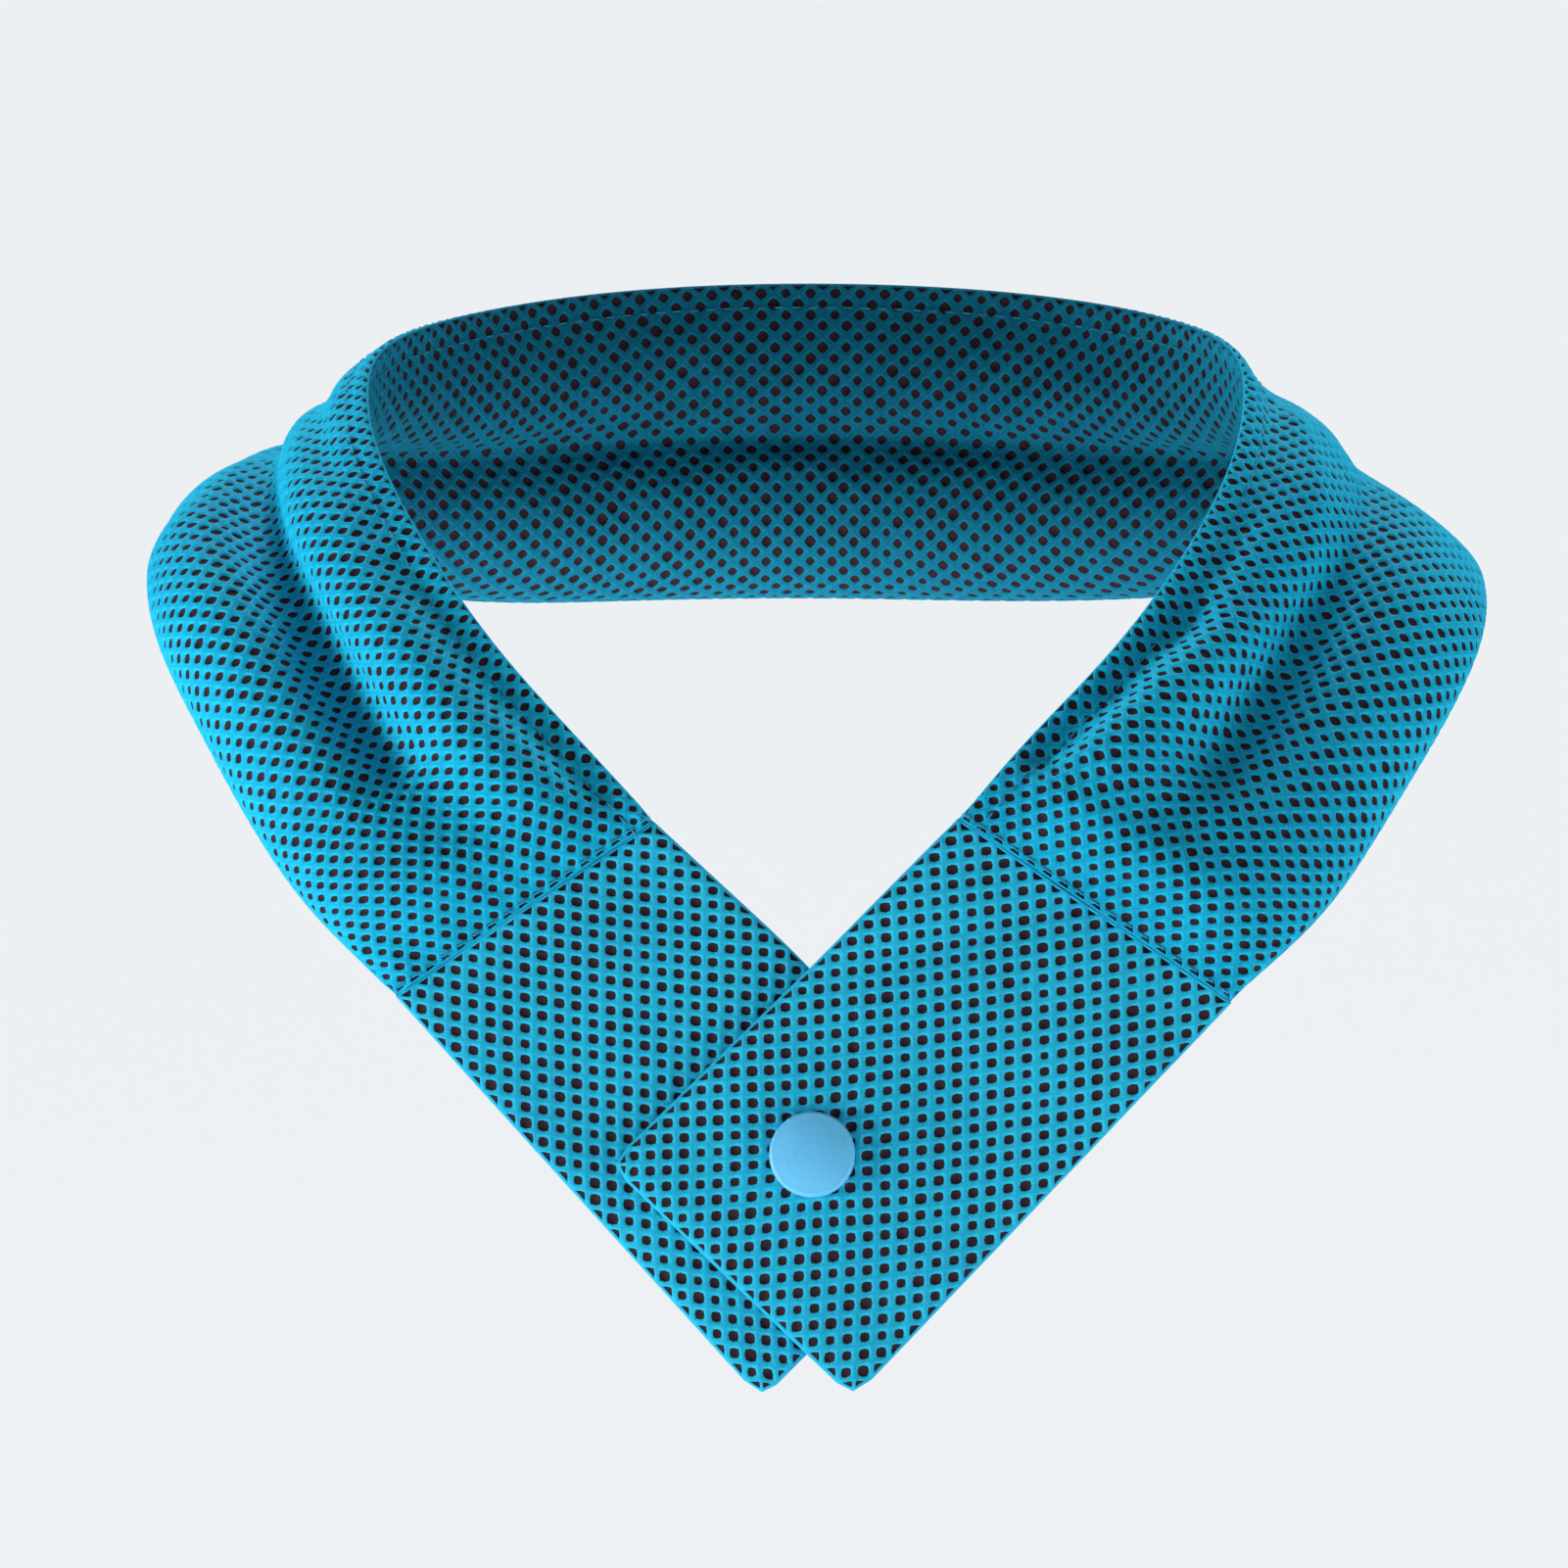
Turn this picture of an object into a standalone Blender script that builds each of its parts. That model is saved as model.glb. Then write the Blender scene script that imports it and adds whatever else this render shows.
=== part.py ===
"""Cooling neck wrap: a padded mesh-knit sleeve whose two flat tails cross on the chest and snap together.

The origin is where the back of the neck seats: on the inner face of the back, halfway down the band.
+X is the viewer's right, +Y runs backwards through the nape, +Z is up. Lengths are in metres.
"""

import math

import bmesh
import bpy
import numpy as np
from mathutils import Matrix, Vector

# Driving sizes of the worn loop.
NECK_WIDTH = 0.1545
NECK_DEPTH = 0.129
FRONT_DROP = 0.100
BAND_WIDTH = 0.058
CHEST_LEAN_ANGLE = math.radians(18)

# Cloth and padding.
CLOTH_THICKNESS = 0.0024
HEM_WIDTH = 0.003
EDGE_ROUNDING = 0.0006
UPPER_LOBE_THICKNESS = 0.012
LOWER_LOBE_THICKNESS = 0.018
CREASE_SHARE = 0.48

# Tails, measured from the point where their upper edges cross.
SEAM_REACH = 0.0363
SEAM_FALL_ANGLE = math.radians(34.3)
TAIL_REACH = 0.0477
TAIL_CORNER = 0.003

# Snap.
SNAP_DROP = 0.032
CAP_DIAMETER = 0.0144
CAP_HEIGHT = 0.0028
CAP_DOME = 0.0009
CAP_WALL = 0.0012
POST_DIAMETER = 0.005
STUD_DIAMETER = 0.011
STUD_HEIGHT = 0.0016

CLEARANCE = 0.0003

# How finely the sleeve's cage is cut along its length, and round the turned pieces.
CAGE_SECTIONS = 41
TURNED_STEPS = 32

# Stations of the sleeve, from its left seam round the back to its right seam.
# along: share of the half length. across, back, drop: the upper edge's place as shares of half the
# neck width, the neck depth and the front drop. roll: degrees that the band leans out from hanging
# straight down. width: share of the band width. The four lobe columns are shares of each lobe's
# thickness, outside and inside the band. crease: 1 where the crease between the lobes is deepest.
STATION_COLUMNS = (
    "along", "across", "back", "drop", "roll", "width",
    "upper_out", "upper_in", "lower_out", "lower_in", "crease",
)
STATIONS = (
    (-1.00, -0.345, 0.942, 0.767, 12, 0.905, 0.00, 0.00, 0.00, 0.00, 0.0),
    (-0.93, -0.478, 0.895, 0.661, 16, 0.925, 0.36, 0.30, 0.32, 0.25, 0.2),
    (-0.84, -0.642, 0.829, 0.538, 22, 0.915, 0.50, 0.45, 0.45, 0.35, 0.5),
    (-0.755, -0.774, 0.760, 0.421, 30, 0.895, 0.52, 0.50, 0.50, 0.40, 0.9),
    (-0.68, -0.875, 0.682, 0.316, 36, 0.880, 0.48, 0.50, 0.55, 0.42, 1.0),
    (-0.588, -0.968, 0.574, 0.199, 40, 0.895, 0.38, 0.50, 0.58, 0.42, 1.0),
    (-0.507, -0.998, 0.462, 0.118, 42, 0.910, 0.26, 0.50, 0.52, 0.42, 1.0),
    (-0.418, -0.972, 0.349, 0.060, 40, 0.925, 0.18, 0.50, 0.40, 0.45, 1.0),
    (-0.30, -0.788, 0.178, 0.028, 20, 0.980, 0.24, 0.50, 0.38, 0.50, 1.0),
    (-0.166, -0.469, 0.053, 0.008, 8, 1.000, 0.38, 0.45, 0.45, 0.55, 1.0),
    (0.00, 0.000, 0.000, 0.000, 3, 1.000, 0.45, 0.40, 0.45, 0.55, 1.0),
    (0.166, 0.469, 0.053, 0.008, 8, 1.000, 0.36, 0.45, 0.42, 0.55, 1.0),
    (0.30, 0.788, 0.178, 0.028, 22, 0.985, 0.20, 0.50, 0.28, 0.50, 1.0),
    (0.418, 0.960, 0.349, 0.065, 42, 0.965, 0.18, 0.50, 0.24, 0.45, 1.0),
    (0.507, 0.972, 0.462, 0.120, 48, 0.955, 0.14, 0.50, 0.20, 0.42, 1.0),
    (0.588, 0.950, 0.574, 0.190, 47, 0.945, 0.26, 0.50, 0.28, 0.42, 1.0),
    (0.68, 0.865, 0.682, 0.316, 41, 0.935, 0.40, 0.50, 0.40, 0.42, 1.0),
    (0.755, 0.765, 0.760, 0.421, 34, 0.945, 0.48, 0.50, 0.46, 0.40, 0.9),
    (0.84, 0.642, 0.829, 0.530, 26, 0.970, 0.50, 0.45, 0.45, 0.35, 0.5),
    (0.93, 0.478, 0.895, 0.652, 18, 0.985, 0.36, 0.30, 0.34, 0.25, 0.2),
    (1.00, 0.345, 0.942, 0.764, 12, 0.955, 0.00, 0.00, 0.00, 0.00, 0.0),
)

# Where along the sleeve its upper edge starts to be drawn to the tail's seam, and where the band
# starts to turn into the chest plane.
PULL_START_SHARE = 0.55
TURN_START_SHARE = 0.70

# Tails, a row each. side, and layer (-1 under, 1 over). Angles in degrees: rise is the slope of the
# upper edge from the crossing up to the seam, slope that below the crossing, fall that of the square
# end. seam_reach, end_reach, seam_width and end_width are shares of SEAM_REACH, TAIL_REACH and
# BAND_WIDTH.
TAIL_COLUMNS = (
    "name", "side", "layer", "rise", "seam_reach", "seam_width", "slope", "end_reach", "fall", "end_width",
)
TAIL_ROWS = (
    ("left_tail", -1, -1, 43.0, 1.000, 0.905, 49.6, 0.950, 45.2, 0.925),
    ("right_tail", 1, 1, 45.5, 0.965, 0.955, 44.6, 1.000, 43.8, 0.975),
)
TAILS = [dict(zip(TAIL_COLUMNS, row)) for row in TAIL_ROWS]

# Half of the sleeve's section, from the upper edge to the lower. at: the place down its own part of
# the band, as a share of that part. height: a share of that lobe's thickness on this side.
HALF_COLUMNS = ("part", "at", "height")
HALF_SECTION = (
    ("hem", 0.00, 0.00),
    ("hem", 1.00, 0.00),
    ("upper", 0.22, 0.80),
    ("upper", 0.55, 1.12),
    ("upper", 0.86, 0.78),
    ("crease", 0.00, 0.00),
    ("lower", 0.14, 0.78),
    ("lower", 0.45, 1.12),
    ("lower", 0.80, 0.86),
    ("lower", 1.00, 0.22),
)

CHEST_RIGHT = np.array([1.0, 0.0, 0.0])
CHEST_UP = np.array([0.0, math.sin(CHEST_LEAN_ANGLE), math.cos(CHEST_LEAN_ANGLE)])
CHEST_FRONT = np.array([0.0, -math.cos(CHEST_LEAN_ANGLE), math.sin(CHEST_LEAN_ANGLE)])

BACK_ROW = dict(zip(STATION_COLUMNS, STATIONS[len(STATIONS) // 2]))
SEAT_TO_EDGE = BACK_ROW["lower_in"] * LOWER_LOBE_THICKNESS + CLOTH_THICKNESS / 2
BACK_EDGE = np.array([0.0, SEAT_TO_EDGE, BAND_WIDTH / 2])
CROSSING = BACK_EDGE + np.array([0.0, -NECK_DEPTH, -FRONT_DROP])
LAYER_OFFSET = (CLOTH_THICKNESS + CLEARANCE) / 2


def unit(vector):
    """The vector, or each row of vectors, at length one."""
    return vector / np.linalg.norm(vector, axis=-1, keepdims=True)


def smooth_step(share):
    """0 to 1 with flat ends."""
    share = np.clip(share, 0.0, 1.0)
    return share * share * (3 - 2 * share)


def natural_spline(knots, values, places):
    """A smooth curve through the values at the knots, read at the places."""
    count = len(knots)
    steps = np.diff(knots)
    system = np.eye(count)
    right = np.zeros_like(values)
    slopes = np.diff(values, axis=0) / steps[:, None]
    for i in range(1, count - 1):
        system[i, i - 1 : i + 2] = steps[i - 1], 2 * (steps[i - 1] + steps[i]), steps[i]
        right[i] = 6 * (slopes[i] - slopes[i - 1])
    bends = np.linalg.solve(system, right)
    span = np.clip(np.searchsorted(knots, places, side="right") - 1, 0, count - 2)
    width = steps[span][:, None]
    after = (places - knots[span])[:, None]
    before = width - after
    bent = (bends[span] * before**3 + bends[span + 1] * after**3) / (6 * width)
    first = (values[span] / width - bends[span] * width / 6) * before
    second = (values[span + 1] / width - bends[span + 1] * width / 6) * after
    return bent + first + second


def chest_point(across, up, front=0.0):
    """A point of the chest plane, measured from the crossing."""
    return CROSSING + across * CHEST_RIGHT + up * CHEST_UP + front * CHEST_FRONT


def tail_corners(tail):
    """The tail's outline in the chest plane: seam upper, crossing, end upper, end lower, seam lower."""
    side = tail["side"]
    slope = math.radians(tail["slope"])
    fall = math.radians(tail["fall"])
    rise = math.radians(tail["rise"])
    end_width = tail["end_width"] * BAND_WIDTH
    seam_width = tail["seam_width"] * BAND_WIDTH
    seam_reach = tail["seam_reach"] * SEAM_REACH
    end_reach = tail["end_reach"] * TAIL_REACH
    seam_upper = np.array([side * math.cos(rise), math.sin(rise)]) * seam_reach
    end_upper = np.array([-side * math.cos(slope), -math.sin(slope)]) * end_reach
    end_lower = end_upper + np.array([side * math.cos(fall), -math.sin(fall)]) * end_width
    across_seam = np.array([side * math.cos(SEAM_FALL_ANGLE), -math.sin(SEAM_FALL_ANGLE)])
    seam_lower = seam_upper + across_seam * seam_width
    return seam_upper, np.zeros(2), end_upper, end_lower, seam_lower


def seam_line(tail):
    """The sleeve's own seam corners beside the tail's, a clearance away, as world points."""
    seam_upper, _, _, _, seam_lower = tail_corners(tail)
    along = unit(seam_lower - seam_upper)
    away = np.array([along[1], -along[0]]) * -tail["side"]
    front = tail["layer"] * LAYER_OFFSET
    corners = [corner + away * CLEARANCE for corner in (seam_upper, seam_lower)]
    return [chest_point(corner[0], corner[1], front) for corner in corners]


def upper_edge(shares):
    """The upper edge's place for shares across, back and drop."""
    return BACK_EDGE + shares * np.array([NECK_WIDTH / 2, -NECK_DEPTH, -FRONT_DROP])


def sleeve_frames(places):
    """Upper edge, chord down the band, outward normal and the table's values at these places."""
    rows = np.array(STATIONS, float)
    read = natural_spline(rows[:, 0], rows[:, 1:], places)
    value = dict(zip(STATION_COLUMNS[1:], read.T))
    edge = upper_edge(read[:, :3])
    ends = [seam_line(tail) for tail in TAILS]
    is_left = (places < 0)[:, None]
    miss = [ends[0][0] - upper_edge(rows[0, 1:4]), ends[1][0] - upper_edge(rows[-1, 1:4])]
    pull = smooth_step((np.abs(places) - PULL_START_SHARE) / (1 - PULL_START_SHARE))[:, None]
    edge = edge + pull * np.where(is_left, miss[0], miss[1])
    along = unit(np.gradient(edge, places, axis=0))
    down = np.array([0.0, 0.0, -1.0])
    down = unit(down - (along @ down)[:, None] * along)
    out = np.cross(along, down)
    roll = np.radians(value["roll"])[:, None]
    chord = np.cos(roll) * down + np.sin(roll) * out
    turn = smooth_step((np.abs(places) - TURN_START_SHARE) / (1 - TURN_START_SHARE))[:, None]
    seam_chord = [unit(lower - upper) for upper, lower in ends]
    chord = unit((1 - turn) * chord + turn * np.where(is_left, seam_chord[0], seam_chord[1]))
    normal = unit(np.cross(along, chord))
    normal = unit((1 - turn) * normal + turn * CHEST_FRONT)
    return edge, chord, normal, value


def section_rings(places):
    """Closed rings of the sleeve's cage: down the outer side from the upper edge, then up the inner."""
    edge, chord, normal, value = sleeve_frames(places)
    width = value["width"] * BAND_WIDTH
    half_cloth = CLOTH_THICKNESS / 2
    crease = CREASE_SHARE * width
    starts = {"hem": 0.0, "upper": HEM_WIDTH, "crease": crease, "lower": crease}
    lengths = {"hem": HEM_WIDTH, "upper": crease - HEM_WIDTH, "crease": 0.0, "lower": width - crease}
    sides = {}
    for side, sign in (("out", 1.0), ("in", -1.0)):
        upper = value["upper_" + side] * UPPER_LOBE_THICKNESS
        lower = value["lower_" + side] * LOWER_LOBE_THICKNESS
        filled = (1 - value["crease"]) * (upper + lower) / 2
        heights = {"hem": 0.0 * upper, "upper": upper, "lower": lower}
        points = []
        for part, at, height in HALF_SECTION:
            down = starts[part] + at * lengths[part] + 0.0 * width
            rise = filled if part == "crease" else height * heights[part]
            rise = sign * (half_cloth + rise)
            points.append(edge + chord * down[:, None] + normal * rise[:, None])
        sides[side] = points
    return np.stack(sides["out"] + sides["in"][::-1], axis=1)


def principled(name, colour, roughness):
    """A plain material."""
    material = bpy.data.materials.new(name)
    material.use_nodes = True
    shader = material.node_tree.nodes["Principled BSDF"]
    shader.inputs["Base Color"].default_value = (*colour, 1.0)
    shader.inputs["Roughness"].default_value = roughness
    shader.inputs["Metallic"].default_value = 0.0
    return material


def add_object(name, mesh, collection, material):
    """Link a mesh object and give it its material."""
    obj = bpy.data.objects.new(name, mesh)
    collection.objects.link(obj)
    mesh.materials.append(material)
    return obj


def make_sleeve(collection, material):
    """The padded sleeve: a loft of unlike sections, smoothed from a coarse cage."""
    places = np.linspace(-1.0, 1.0, CAGE_SECTIONS)
    rings = section_rings(places)
    work = bmesh.new()
    rows = [[work.verts.new(point) for point in ring] for ring in rings]
    around = len(rows[0])
    for this, following in zip(rows, rows[1:]):
        for i in range(around):
            j = (i + 1) % around
            work.faces.new((this[i], this[j], following[j], following[i]))
    half = around // 2
    for row in (rows[0], rows[-1]):
        for i in range(half - 1):
            work.faces.new((row[i], row[i + 1], row[around - 2 - i], row[around - 1 - i]))
    bmesh.ops.recalc_face_normals(work, faces=work.faces)
    creases = work.edges.layers.float.new("crease_edge")
    for row in (rows[0], rows[-1]):
        for i in range(around):
            rim = work.edges.get((row[i], row[(i + 1) % around]))
            rim[creases] = 1.0
    mesh = bpy.data.meshes.new("padded_sleeve")
    work.to_mesh(mesh)
    work.free()
    mesh.shade_smooth()
    sleeve = add_object("padded_sleeve", mesh, collection, material)
    soften = sleeve.modifiers.new("soften", "SUBSURF")
    soften.levels = 1
    soften.render_levels = 1
    return sleeve


def rounded_outline(corners, radius, steps=4):
    """The outline with each sharp corner turned into an arc; the crossing, almost straight, stays a point."""
    outline = []
    count = len(corners)
    for i, corner in enumerate(corners):
        before = unit(corners[i - 1] - corner)
        after = unit(corners[(i + 1) % count] - corner)
        opening = math.acos(float(np.clip(before @ after, -1.0, 1.0)))
        if i not in (2, 3):
            outline.append(corner)
            continue
        centre = corner + unit(before + after) * radius / math.sin(opening / 2)
        start = corner + before * radius / math.tan(opening / 2) - centre
        end = corner + after * radius / math.tan(opening / 2) - centre
        turn = math.atan2(start[0] * end[1] - start[1] * end[0], start @ end)
        for step in range(steps + 1):
            angle = turn * step / steps
            spin = np.array([[math.cos(angle), -math.sin(angle)], [math.sin(angle), math.cos(angle)]])
            outline.append(centre + spin @ start)
    return outline


def chest_matrix(across, up, front):
    """Local X, Y and Z on the chest's right, up and front."""
    turn = Matrix((CHEST_RIGHT, CHEST_UP, CHEST_FRONT)).transposed().to_4x4()
    return Matrix.Translation(Vector(chest_point(across, up, front))) @ turn


def make_tail(tail, collection, material, cutter):
    """One flat tail: an open sheet given its thickness, pierced for the snap."""
    outline = rounded_outline(tail_corners(tail), TAIL_CORNER)
    work = bmesh.new()
    face = work.faces.new([work.verts.new((x, y, 0.0)) for x, y in outline])
    face.normal_update()
    if face.normal.z < 0:
        face.normal_flip()
    mesh = bpy.data.meshes.new(tail["name"])
    work.to_mesh(mesh)
    work.free()
    obj = add_object(tail["name"], mesh, collection, material)
    obj.matrix_world = chest_matrix(0.0, 0.0, tail["layer"] * LAYER_OFFSET)
    thicken = obj.modifiers.new("thickness", "SOLIDIFY")
    thicken.thickness = CLOTH_THICKNESS
    thicken.offset = 0.0
    soften = obj.modifiers.new("soft_edge", "BEVEL")
    soften.width = EDGE_ROUNDING
    soften.segments = 2
    soften.limit_method = "ANGLE"
    soften.angle_limit = math.radians(50)
    pierce = obj.modifiers.new("snap_hole", "BOOLEAN")
    pierce.operation = "DIFFERENCE"
    pierce.solver = "EXACT"
    pierce.object = cutter
    return obj


def turned(name, profile, collection, material, matrix):
    """A turned piece from its half profile, top to bottom down its outer side."""
    mesh = bpy.data.meshes.new(name)
    edges = [(i, i + 1) for i in range(len(profile) - 1)]
    mesh.from_pydata([(radius, 0.0, height) for radius, height in profile], edges, [])
    obj = add_object(name, mesh, collection, material)
    obj.matrix_world = matrix
    spin = obj.modifiers.new("turn", "SCREW")
    spin.steps = TURNED_STEPS
    spin.render_steps = TURNED_STEPS
    spin.use_merge_vertices = True
    spin.merge_threshold = 0.00001
    spin.use_smooth_shade = True
    return obj


def cap_profile():
    """The snap's cap: a shallow dome with a rolled rim, and a socket for the post behind it."""
    radius = CAP_DIAMETER / 2
    socket = POST_DIAMETER / 2 + CLEARANCE
    rim = CAP_HEIGHT - CAP_DOME
    depth = CAP_HEIGHT - CAP_WALL
    roll = 0.4 * rim
    points = []
    for step in range(5):
        out = (radius - roll) * step / 4
        points.append((out, rim + CAP_DOME * (1 - (out / (radius - roll)) ** 2)))
    for step in range(1, 5):
        angle = math.pi / 2 * (1 - step / 4)
        points.append((radius - roll + roll * math.cos(angle), rim - roll + roll * math.sin(angle)))
    points += [(radius, 0.0), (socket, 0.0), (socket, depth), (0.0, depth)]
    return points


def stud_profile(tip, back):
    """The snap's post and back cap, from its tip to its back face."""
    post = POST_DIAMETER / 2
    radius = STUD_DIAMETER / 2
    edge = 0.3 * STUD_HEIGHT
    return [
        (0.0, tip),
        (post, tip),
        (post, back),
        (radius, back),
        (radius, back - STUD_HEIGHT + edge),
        (radius - edge, back - STUD_HEIGHT),
        (0.0, back - STUD_HEIGHT),
    ]


def make_snap(collection, material):
    """The cap on the front tail, and the stud that comes through both tails into it."""
    front = LAYER_OFFSET + CLOTH_THICKNESS / 2 + CLEARANCE
    cap = turned("snap_cap", cap_profile(), collection, material, chest_matrix(0.0, -SNAP_DROP, front))
    tip = front + CAP_HEIGHT - CAP_WALL - CLEARANCE
    profile = stud_profile(tip, -front)
    stud = turned("snap_stud", profile, collection, material, chest_matrix(0.0, -SNAP_DROP, 0.0))
    return cap, stud


def make_cutter(collection):
    """The round hole that the post needs through both tails."""
    bpy.ops.mesh.primitive_cylinder_add(
        vertices=TURNED_STEPS, radius=POST_DIAMETER / 2 + CLEARANCE, depth=8 * CLOTH_THICKNESS
    )
    cutter = bpy.context.active_object
    cutter.name = "snap_hole_cutter"
    for other in cutter.users_collection:
        other.objects.unlink(cutter)
    collection.objects.link(cutter)
    cutter.matrix_world = chest_matrix(0.0, -SNAP_DROP, 0.0)
    cutter.hide_render = True
    cutter.display_type = "WIRE"
    return cutter


def main():
    """Clear the scene and build the wrap."""
    for obj in list(bpy.data.objects):
        bpy.data.objects.remove(obj)
    wrap = bpy.data.collections.new("cooling_neck_wrap")
    cutters = bpy.data.collections.new("cutters")
    bpy.context.scene.collection.children.link(wrap)
    bpy.context.scene.collection.children.link(cutters)
    knit = principled("knit_fabric", (0.03, 0.42, 0.62), 0.85)
    plastic = principled("snap_plastic", (0.10, 0.45, 0.66), 0.45)
    cutter = make_cutter(cutters)
    make_sleeve(wrap, knit)
    for tail in TAILS:
        make_tail(tail, wrap, knit, cutter)
    make_snap(wrap, plastic)


main()
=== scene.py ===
# %% [markdown]
# # A cooling neck wrap in open knit
# The wrap is a strip of turquoise mesh knit, worn as a loop. Its middle is a padded sleeve with two
# lengthwise lobes, an upper and a lower one, and its ends are flat double tails that cross on the chest
# and are held by one round plastic snap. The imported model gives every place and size, so the first cell
# loads it and keeps its box.

import math

import bpy
import numpy as np
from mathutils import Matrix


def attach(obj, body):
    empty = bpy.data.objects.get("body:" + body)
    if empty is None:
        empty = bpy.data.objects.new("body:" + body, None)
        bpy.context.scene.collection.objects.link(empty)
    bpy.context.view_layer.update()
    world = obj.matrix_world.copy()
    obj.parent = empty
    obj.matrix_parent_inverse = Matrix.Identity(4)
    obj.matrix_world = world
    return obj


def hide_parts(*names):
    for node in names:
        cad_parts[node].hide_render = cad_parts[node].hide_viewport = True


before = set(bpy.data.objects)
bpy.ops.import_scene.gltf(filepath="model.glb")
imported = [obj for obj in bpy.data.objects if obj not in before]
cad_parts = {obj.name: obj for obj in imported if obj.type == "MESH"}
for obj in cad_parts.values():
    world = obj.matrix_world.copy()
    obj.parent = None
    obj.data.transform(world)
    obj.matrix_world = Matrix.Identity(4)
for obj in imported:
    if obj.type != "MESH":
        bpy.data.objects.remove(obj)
scene = bpy.context.scene
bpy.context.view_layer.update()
print("nodes:", sorted(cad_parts))

# %% [markdown]
# ## The sizes of the worn loop
# These are the real sizes of the wrap, in metres, with the same names as in its solid model. A row of the
# table is one station of the padded sleeve, from its left seam round the back of the neck to its right
# seam, and its columns are shares of the sizes above it. A table like this is easier to correct against a
# photograph than a sculpted mesh, because one number moves one thing.

# %% Sizes and stations
NECK_WIDTH = 0.1545
NECK_DEPTH = 0.129
FRONT_DROP = 0.100
BAND_WIDTH = 0.058
CHEST_LEAN_ANGLE = math.radians(18)
CLOTH_THICKNESS = 0.0024
HEM_WIDTH = 0.003
UPPER_LOBE_THICKNESS = 0.012
LOWER_LOBE_THICKNESS = 0.018
CREASE_SHARE = 0.48
SEAM_REACH = 0.0363
SEAM_FALL_ANGLE = math.radians(34.3)
TAIL_REACH = 0.0477
TAIL_CORNER = 0.003
SNAP_DROP = 0.032
CLEARANCE = 0.0003
CAGE_SECTIONS = 41
PULL_START_SHARE = 0.55
TURN_START_SHARE = 0.70

STATION_COLUMNS = (
    "along", "across", "back", "drop", "roll", "width",
    "upper_out", "upper_in", "lower_out", "lower_in", "crease",
)
STATIONS = (
    (-1.00, -0.345, 0.942, 0.767, 12, 0.905, 0.00, 0.00, 0.00, 0.00, 0.0),
    (-0.93, -0.478, 0.895, 0.661, 16, 0.925, 0.36, 0.30, 0.32, 0.25, 0.2),
    (-0.84, -0.642, 0.829, 0.538, 22, 0.915, 0.50, 0.45, 0.45, 0.35, 0.5),
    (-0.755, -0.774, 0.760, 0.421, 30, 0.895, 0.52, 0.50, 0.50, 0.40, 0.9),
    (-0.68, -0.875, 0.682, 0.316, 36, 0.880, 0.48, 0.50, 0.55, 0.42, 1.0),
    (-0.588, -0.968, 0.574, 0.199, 40, 0.895, 0.38, 0.50, 0.58, 0.42, 1.0),
    (-0.507, -0.998, 0.462, 0.118, 42, 0.910, 0.26, 0.50, 0.52, 0.42, 1.0),
    (-0.418, -0.972, 0.349, 0.060, 40, 0.925, 0.18, 0.50, 0.40, 0.45, 1.0),
    (-0.30, -0.788, 0.178, 0.028, 20, 0.980, 0.24, 0.50, 0.38, 0.50, 1.0),
    (-0.166, -0.469, 0.053, 0.008, 8, 1.000, 0.38, 0.45, 0.45, 0.55, 1.0),
    (0.00, 0.000, 0.000, 0.000, 3, 1.000, 0.45, 0.40, 0.45, 0.55, 1.0),
    (0.166, 0.469, 0.053, 0.008, 8, 1.000, 0.36, 0.45, 0.42, 0.55, 1.0),
    (0.30, 0.788, 0.178, 0.028, 22, 0.985, 0.20, 0.50, 0.28, 0.50, 1.0),
    (0.418, 0.960, 0.349, 0.065, 42, 0.965, 0.18, 0.50, 0.24, 0.45, 1.0),
    (0.507, 0.972, 0.462, 0.120, 48, 0.955, 0.14, 0.50, 0.20, 0.42, 1.0),
    (0.588, 0.950, 0.574, 0.190, 47, 0.945, 0.26, 0.50, 0.28, 0.42, 1.0),
    (0.68, 0.865, 0.682, 0.316, 41, 0.935, 0.40, 0.50, 0.40, 0.42, 1.0),
    (0.755, 0.765, 0.760, 0.421, 34, 0.945, 0.48, 0.50, 0.46, 0.40, 0.9),
    (0.84, 0.642, 0.829, 0.530, 26, 0.970, 0.50, 0.45, 0.45, 0.35, 0.5),
    (0.93, 0.478, 0.895, 0.652, 18, 0.985, 0.36, 0.30, 0.34, 0.25, 0.2),
    (1.00, 0.345, 0.942, 0.764, 12, 0.955, 0.00, 0.00, 0.00, 0.00, 0.0),
)
TAIL_COLUMNS = (
    "name", "side", "layer", "rise", "seam_reach", "seam_width", "slope", "end_reach", "fall", "end_width",
)
TAIL_ROWS = (
    ("left_tail", -1, -1, 43.0, 1.000, 0.905, 49.6, 0.950, 45.2, 0.925),
    ("right_tail", 1, 1, 45.5, 0.965, 0.955, 44.6, 1.000, 43.8, 0.975),
)
TAILS = [dict(zip(TAIL_COLUMNS, row)) for row in TAIL_ROWS]
# One face's section, from the hem down: a part, a share of the way down it, a share of its height.
HALF_SECTION = (
    ("hem", 0.00, 0.00),
    ("hem", 1.00, 0.00),
    ("upper", 0.22, 0.80),
    ("upper", 0.55, 1.12),
    ("upper", 0.86, 0.78),
    ("crease", 0.00, 0.00),
    ("lower", 0.14, 0.78),
    ("lower", 0.45, 1.12),
    ("lower", 0.80, 0.86),
    ("lower", 1.00, 0.22),
)
RING_POINTS = 2 * len(HALF_SECTION)

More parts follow.
